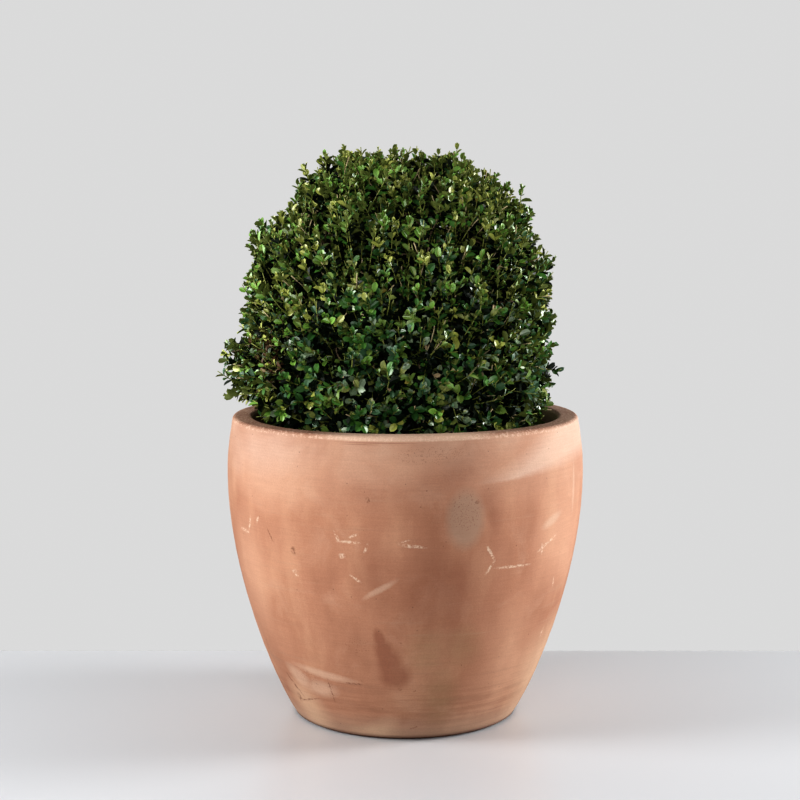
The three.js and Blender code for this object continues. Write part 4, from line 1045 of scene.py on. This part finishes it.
# Every leaf sits on its shoot at its pair's place, leans out from it, and lifts its blade to the light.
# A place is found by steps down from the tip, and none lies below the shoot's last step.
SHORTEST_STEP, LOWEST_STEP = 1e-4, SHOOT_STEPS - 1.01
parts = []
for pair, (below, size, spread) in enumerate(LEAF_PAIRS):
    for side in (0, 1):
        turn = shoot_turn + math.pi * (side + 0.5 * pair) + dice.normal(0, TURN_STRAY, shoot_total)
        outward = crossways * np.cos(turn)[:, None] + crossways_too * np.sin(turn)[:, None]
        steps_down = np.minimum(below / np.maximum(last_step, SHORTEST_STEP), LOWEST_STEP)
        whole = steps_down.astype(int)
        over = shoot_paths[np.arange(shoot_total), SHOOT_STEPS - 1 - whole]
        under = shoot_paths[np.arange(shoot_total), SHOOT_STEPS - 2 - whole]
        root = over + (under - over) * (steps_down - whole)[:, None]
        onward = unit(over - under)
        outward = unit(outward - onward * (outward * onward).sum(axis=1)[:, None])
        lean = np.radians(spread + dice.normal(0, LEAN_STRAY, shoot_total))[:, None]
        along = onward * np.cos(lean) + outward * np.sin(lean)
        facing = onward * np.sin(lean) - outward * np.cos(lean)
        facing += FACE_OUT * tip_aim + (0, 0, FACE_UP) + dice.normal(0, FACE_STRAY, facing.shape)
        facing = unit(facing - along * (facing * along).sum(axis=1)[:, None])
        leaf_size = size * vigour * dice.uniform(*LEAF_SIZES, shoot_total)
        loose = dice.uniform(0, 1, shoot_total) < LOOSE_SHARE
        tint = np.where(loose, dice.choice(len(LEAF_KINDS), shoot_total, p=odds), shoot_kind)
        slot = np.where((pair < YOUNG_PAIRS) & (shoot_young >= 0), shoot_young, tint)
        slot = np.where(dice.uniform(0, 1, shoot_total) < OLD_SHADED_SHARE[pair] * old_shaded_left, OLD_SHADED_SLOT, slot)
        spent = dice.uniform(0, 1, shoot_total)
        slot = np.where(spent < SPENT_SHARE, YELLOWED_SLOT, slot)
        slot = np.where(spent < SPENT_SHARE / 2, DRY_SLOT, slot)
        slot = np.where(dice.uniform(0, 1, shoot_total) < bronzed_share, BRONZED_SLOT, slot)
        slot = np.where(shoot_dead, DRY_SLOT, slot)
        leaf_size *= np.where((slot >= YELLOWED_SLOT) & (slot < UNDER_SLOT), SPENT_SIZE, 1)
        present = ~shoot_dead | (dice.uniform(0, 1, shoot_total) < DEAD_KEEP)
        present &= ~(shoot_clipped & (pair < CLIPPED_PAIRS))
        present &= dice.uniform(0, 1, shoot_total) > MISSING_SHARE
        parts.append([array[present] for array in (root, along, facing, leaf_size, slot, shoot_mass)])
root, along, facing, leaf_size, slot, leaf_mass = (np.concatenate(arrays) for arrays in zip(*parts))
across = np.cross(along, facing)
sizes = leaf_form * (LEAF_WIDTH / 2, LEAF_LENGTH, LEAF_FOLD)
leaf_points = root[:, None] + leaf_size[:, None, None] * (
    across[:, None] * sizes[:, :1] + along[:, None] * sizes[:, 1:2] + facing[:, None] * sizes[:, 2:])
fits = clear_of_pot(leaf_points).all(axis=1)
leaf_points, slot, leaf_mass = leaf_points[fits], slot[fits], leaf_mass[fits]

for index, (name, azimuth, elevation, fork_height) in enumerate(MASSES):
    own = leaf_mass == index
    count = own.sum()
    faces = (leaf_faces + len(leaf_form) * np.arange(count)[:, None, None]).reshape(-1, 3)
    slots = np.repeat(slot[own], len(leaf_faces)).reshape(count, -1)
    under = slots[:, UPPER_FACES:]
    under[under < YELLOWED_SLOT] = UNDER_SLOT
    leaves = mesh_piece("leaves_" + name, leaf_points[own].reshape(-1, 3), faces, leaf_materials,
                        slots.ravel())
    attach(leaves, "root")
    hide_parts("foliage_" + name)


# ------------------------------------------------------------------------------------- studio
# The pot stands on a pale, satin-painted table that ends close behind it, with a pale grey background
# behind, a tall softbox at each side, and a wide, weaker one in front.

TABLE_BACK = 0.33
TABLE_SIZE = 3.2
table_points = np.array([(-TABLE_SIZE, -TABLE_SIZE, 0), (TABLE_SIZE, -TABLE_SIZE, 0),
                         (TABLE_SIZE, TABLE_BACK, 0), (-TABLE_SIZE, TABLE_BACK, 0)])
# Satin pale grey paint, rolled on a smooth board: it mirrors the pot's foot as a soft blur.
painted = plain_material("satin_painted_board", "#d3d5d8", 0.34)
table = mesh_piece("table", table_points, np.array([(0, 1, 2, 3)]), [painted])

# Softboxes, all aimed just below the pot's rim: degrees round from the front, height, distance, how wide
# and how tall they are, and watts.
SOFTBOXES = [("left_softbox", -74, 1.3, 2.7, 1.0, 2.2, 70),
             ("right_softbox", 95, 1.0, 2.9, 1.0, 1.9, 88),
             ("front_softbox", 0, 1.1, 3.0, 2.4, 1.4, 33)]
AIM_HEIGHT = 0.45
for name, turned_by, height, distance, width, tall, power in SOFTBOXES:
    light = bpy.data.lights.new(name, "AREA")
    light.shape = "RECTANGLE"
    light.size = width
    light.size_y = tall
    light.energy = power
    softbox = bpy.data.objects.new(name, light)
    turn = math.radians(turned_by)
    softbox.location = (distance * math.sin(turn), -distance * math.cos(turn), height)
    away = softbox.location - Vector((0, 0, AIM_HEIGHT))
    softbox.rotation_euler = away.to_track_quat("Z", "Y").to_euler()
    bpy.context.scene.collection.objects.link(softbox)

# The room lights the plant from behind, with its pale grey background, and is dark in front. The
# background itself looks evenly lit.
ROOM_DARK, ROOM_LIGHT = 0.06, 0.93
DARK_BEFORE, LIGHT_BEHIND = 0.1, 0.6    # how far back a direction must point
world = bpy.data.worlds.new("studio")
bpy.context.scene.world = world
world.use_nodes = True
tree = world.node_tree
tree.nodes["Background"].inputs["Color"].default_value = colour("#bfbfbf")
bearing = add(tree, "SeparateXYZ", {0: add(tree, "TexCoord").outputs["Generated"]})
behind = add(tree, "MapRange", {"Value": bearing.outputs["Y"], "From Min": DARK_BEFORE,
                                "From Max": LIGHT_BEHIND, "To Min": ROOM_DARK, "To Max": ROOM_LIGHT})
seen = add(tree, "LightPath").outputs["Is Camera Ray"]
strength = add(tree, "Math", {0: seen, 1: behind}, operation="MAXIMUM")
tree.links.new(strength.outputs[0], tree.nodes["Background"].inputs["Strength"])
bpy.context.scene.view_settings.view_transform = "Standard"
bpy.context.scene.view_settings.look = "High Contrast"
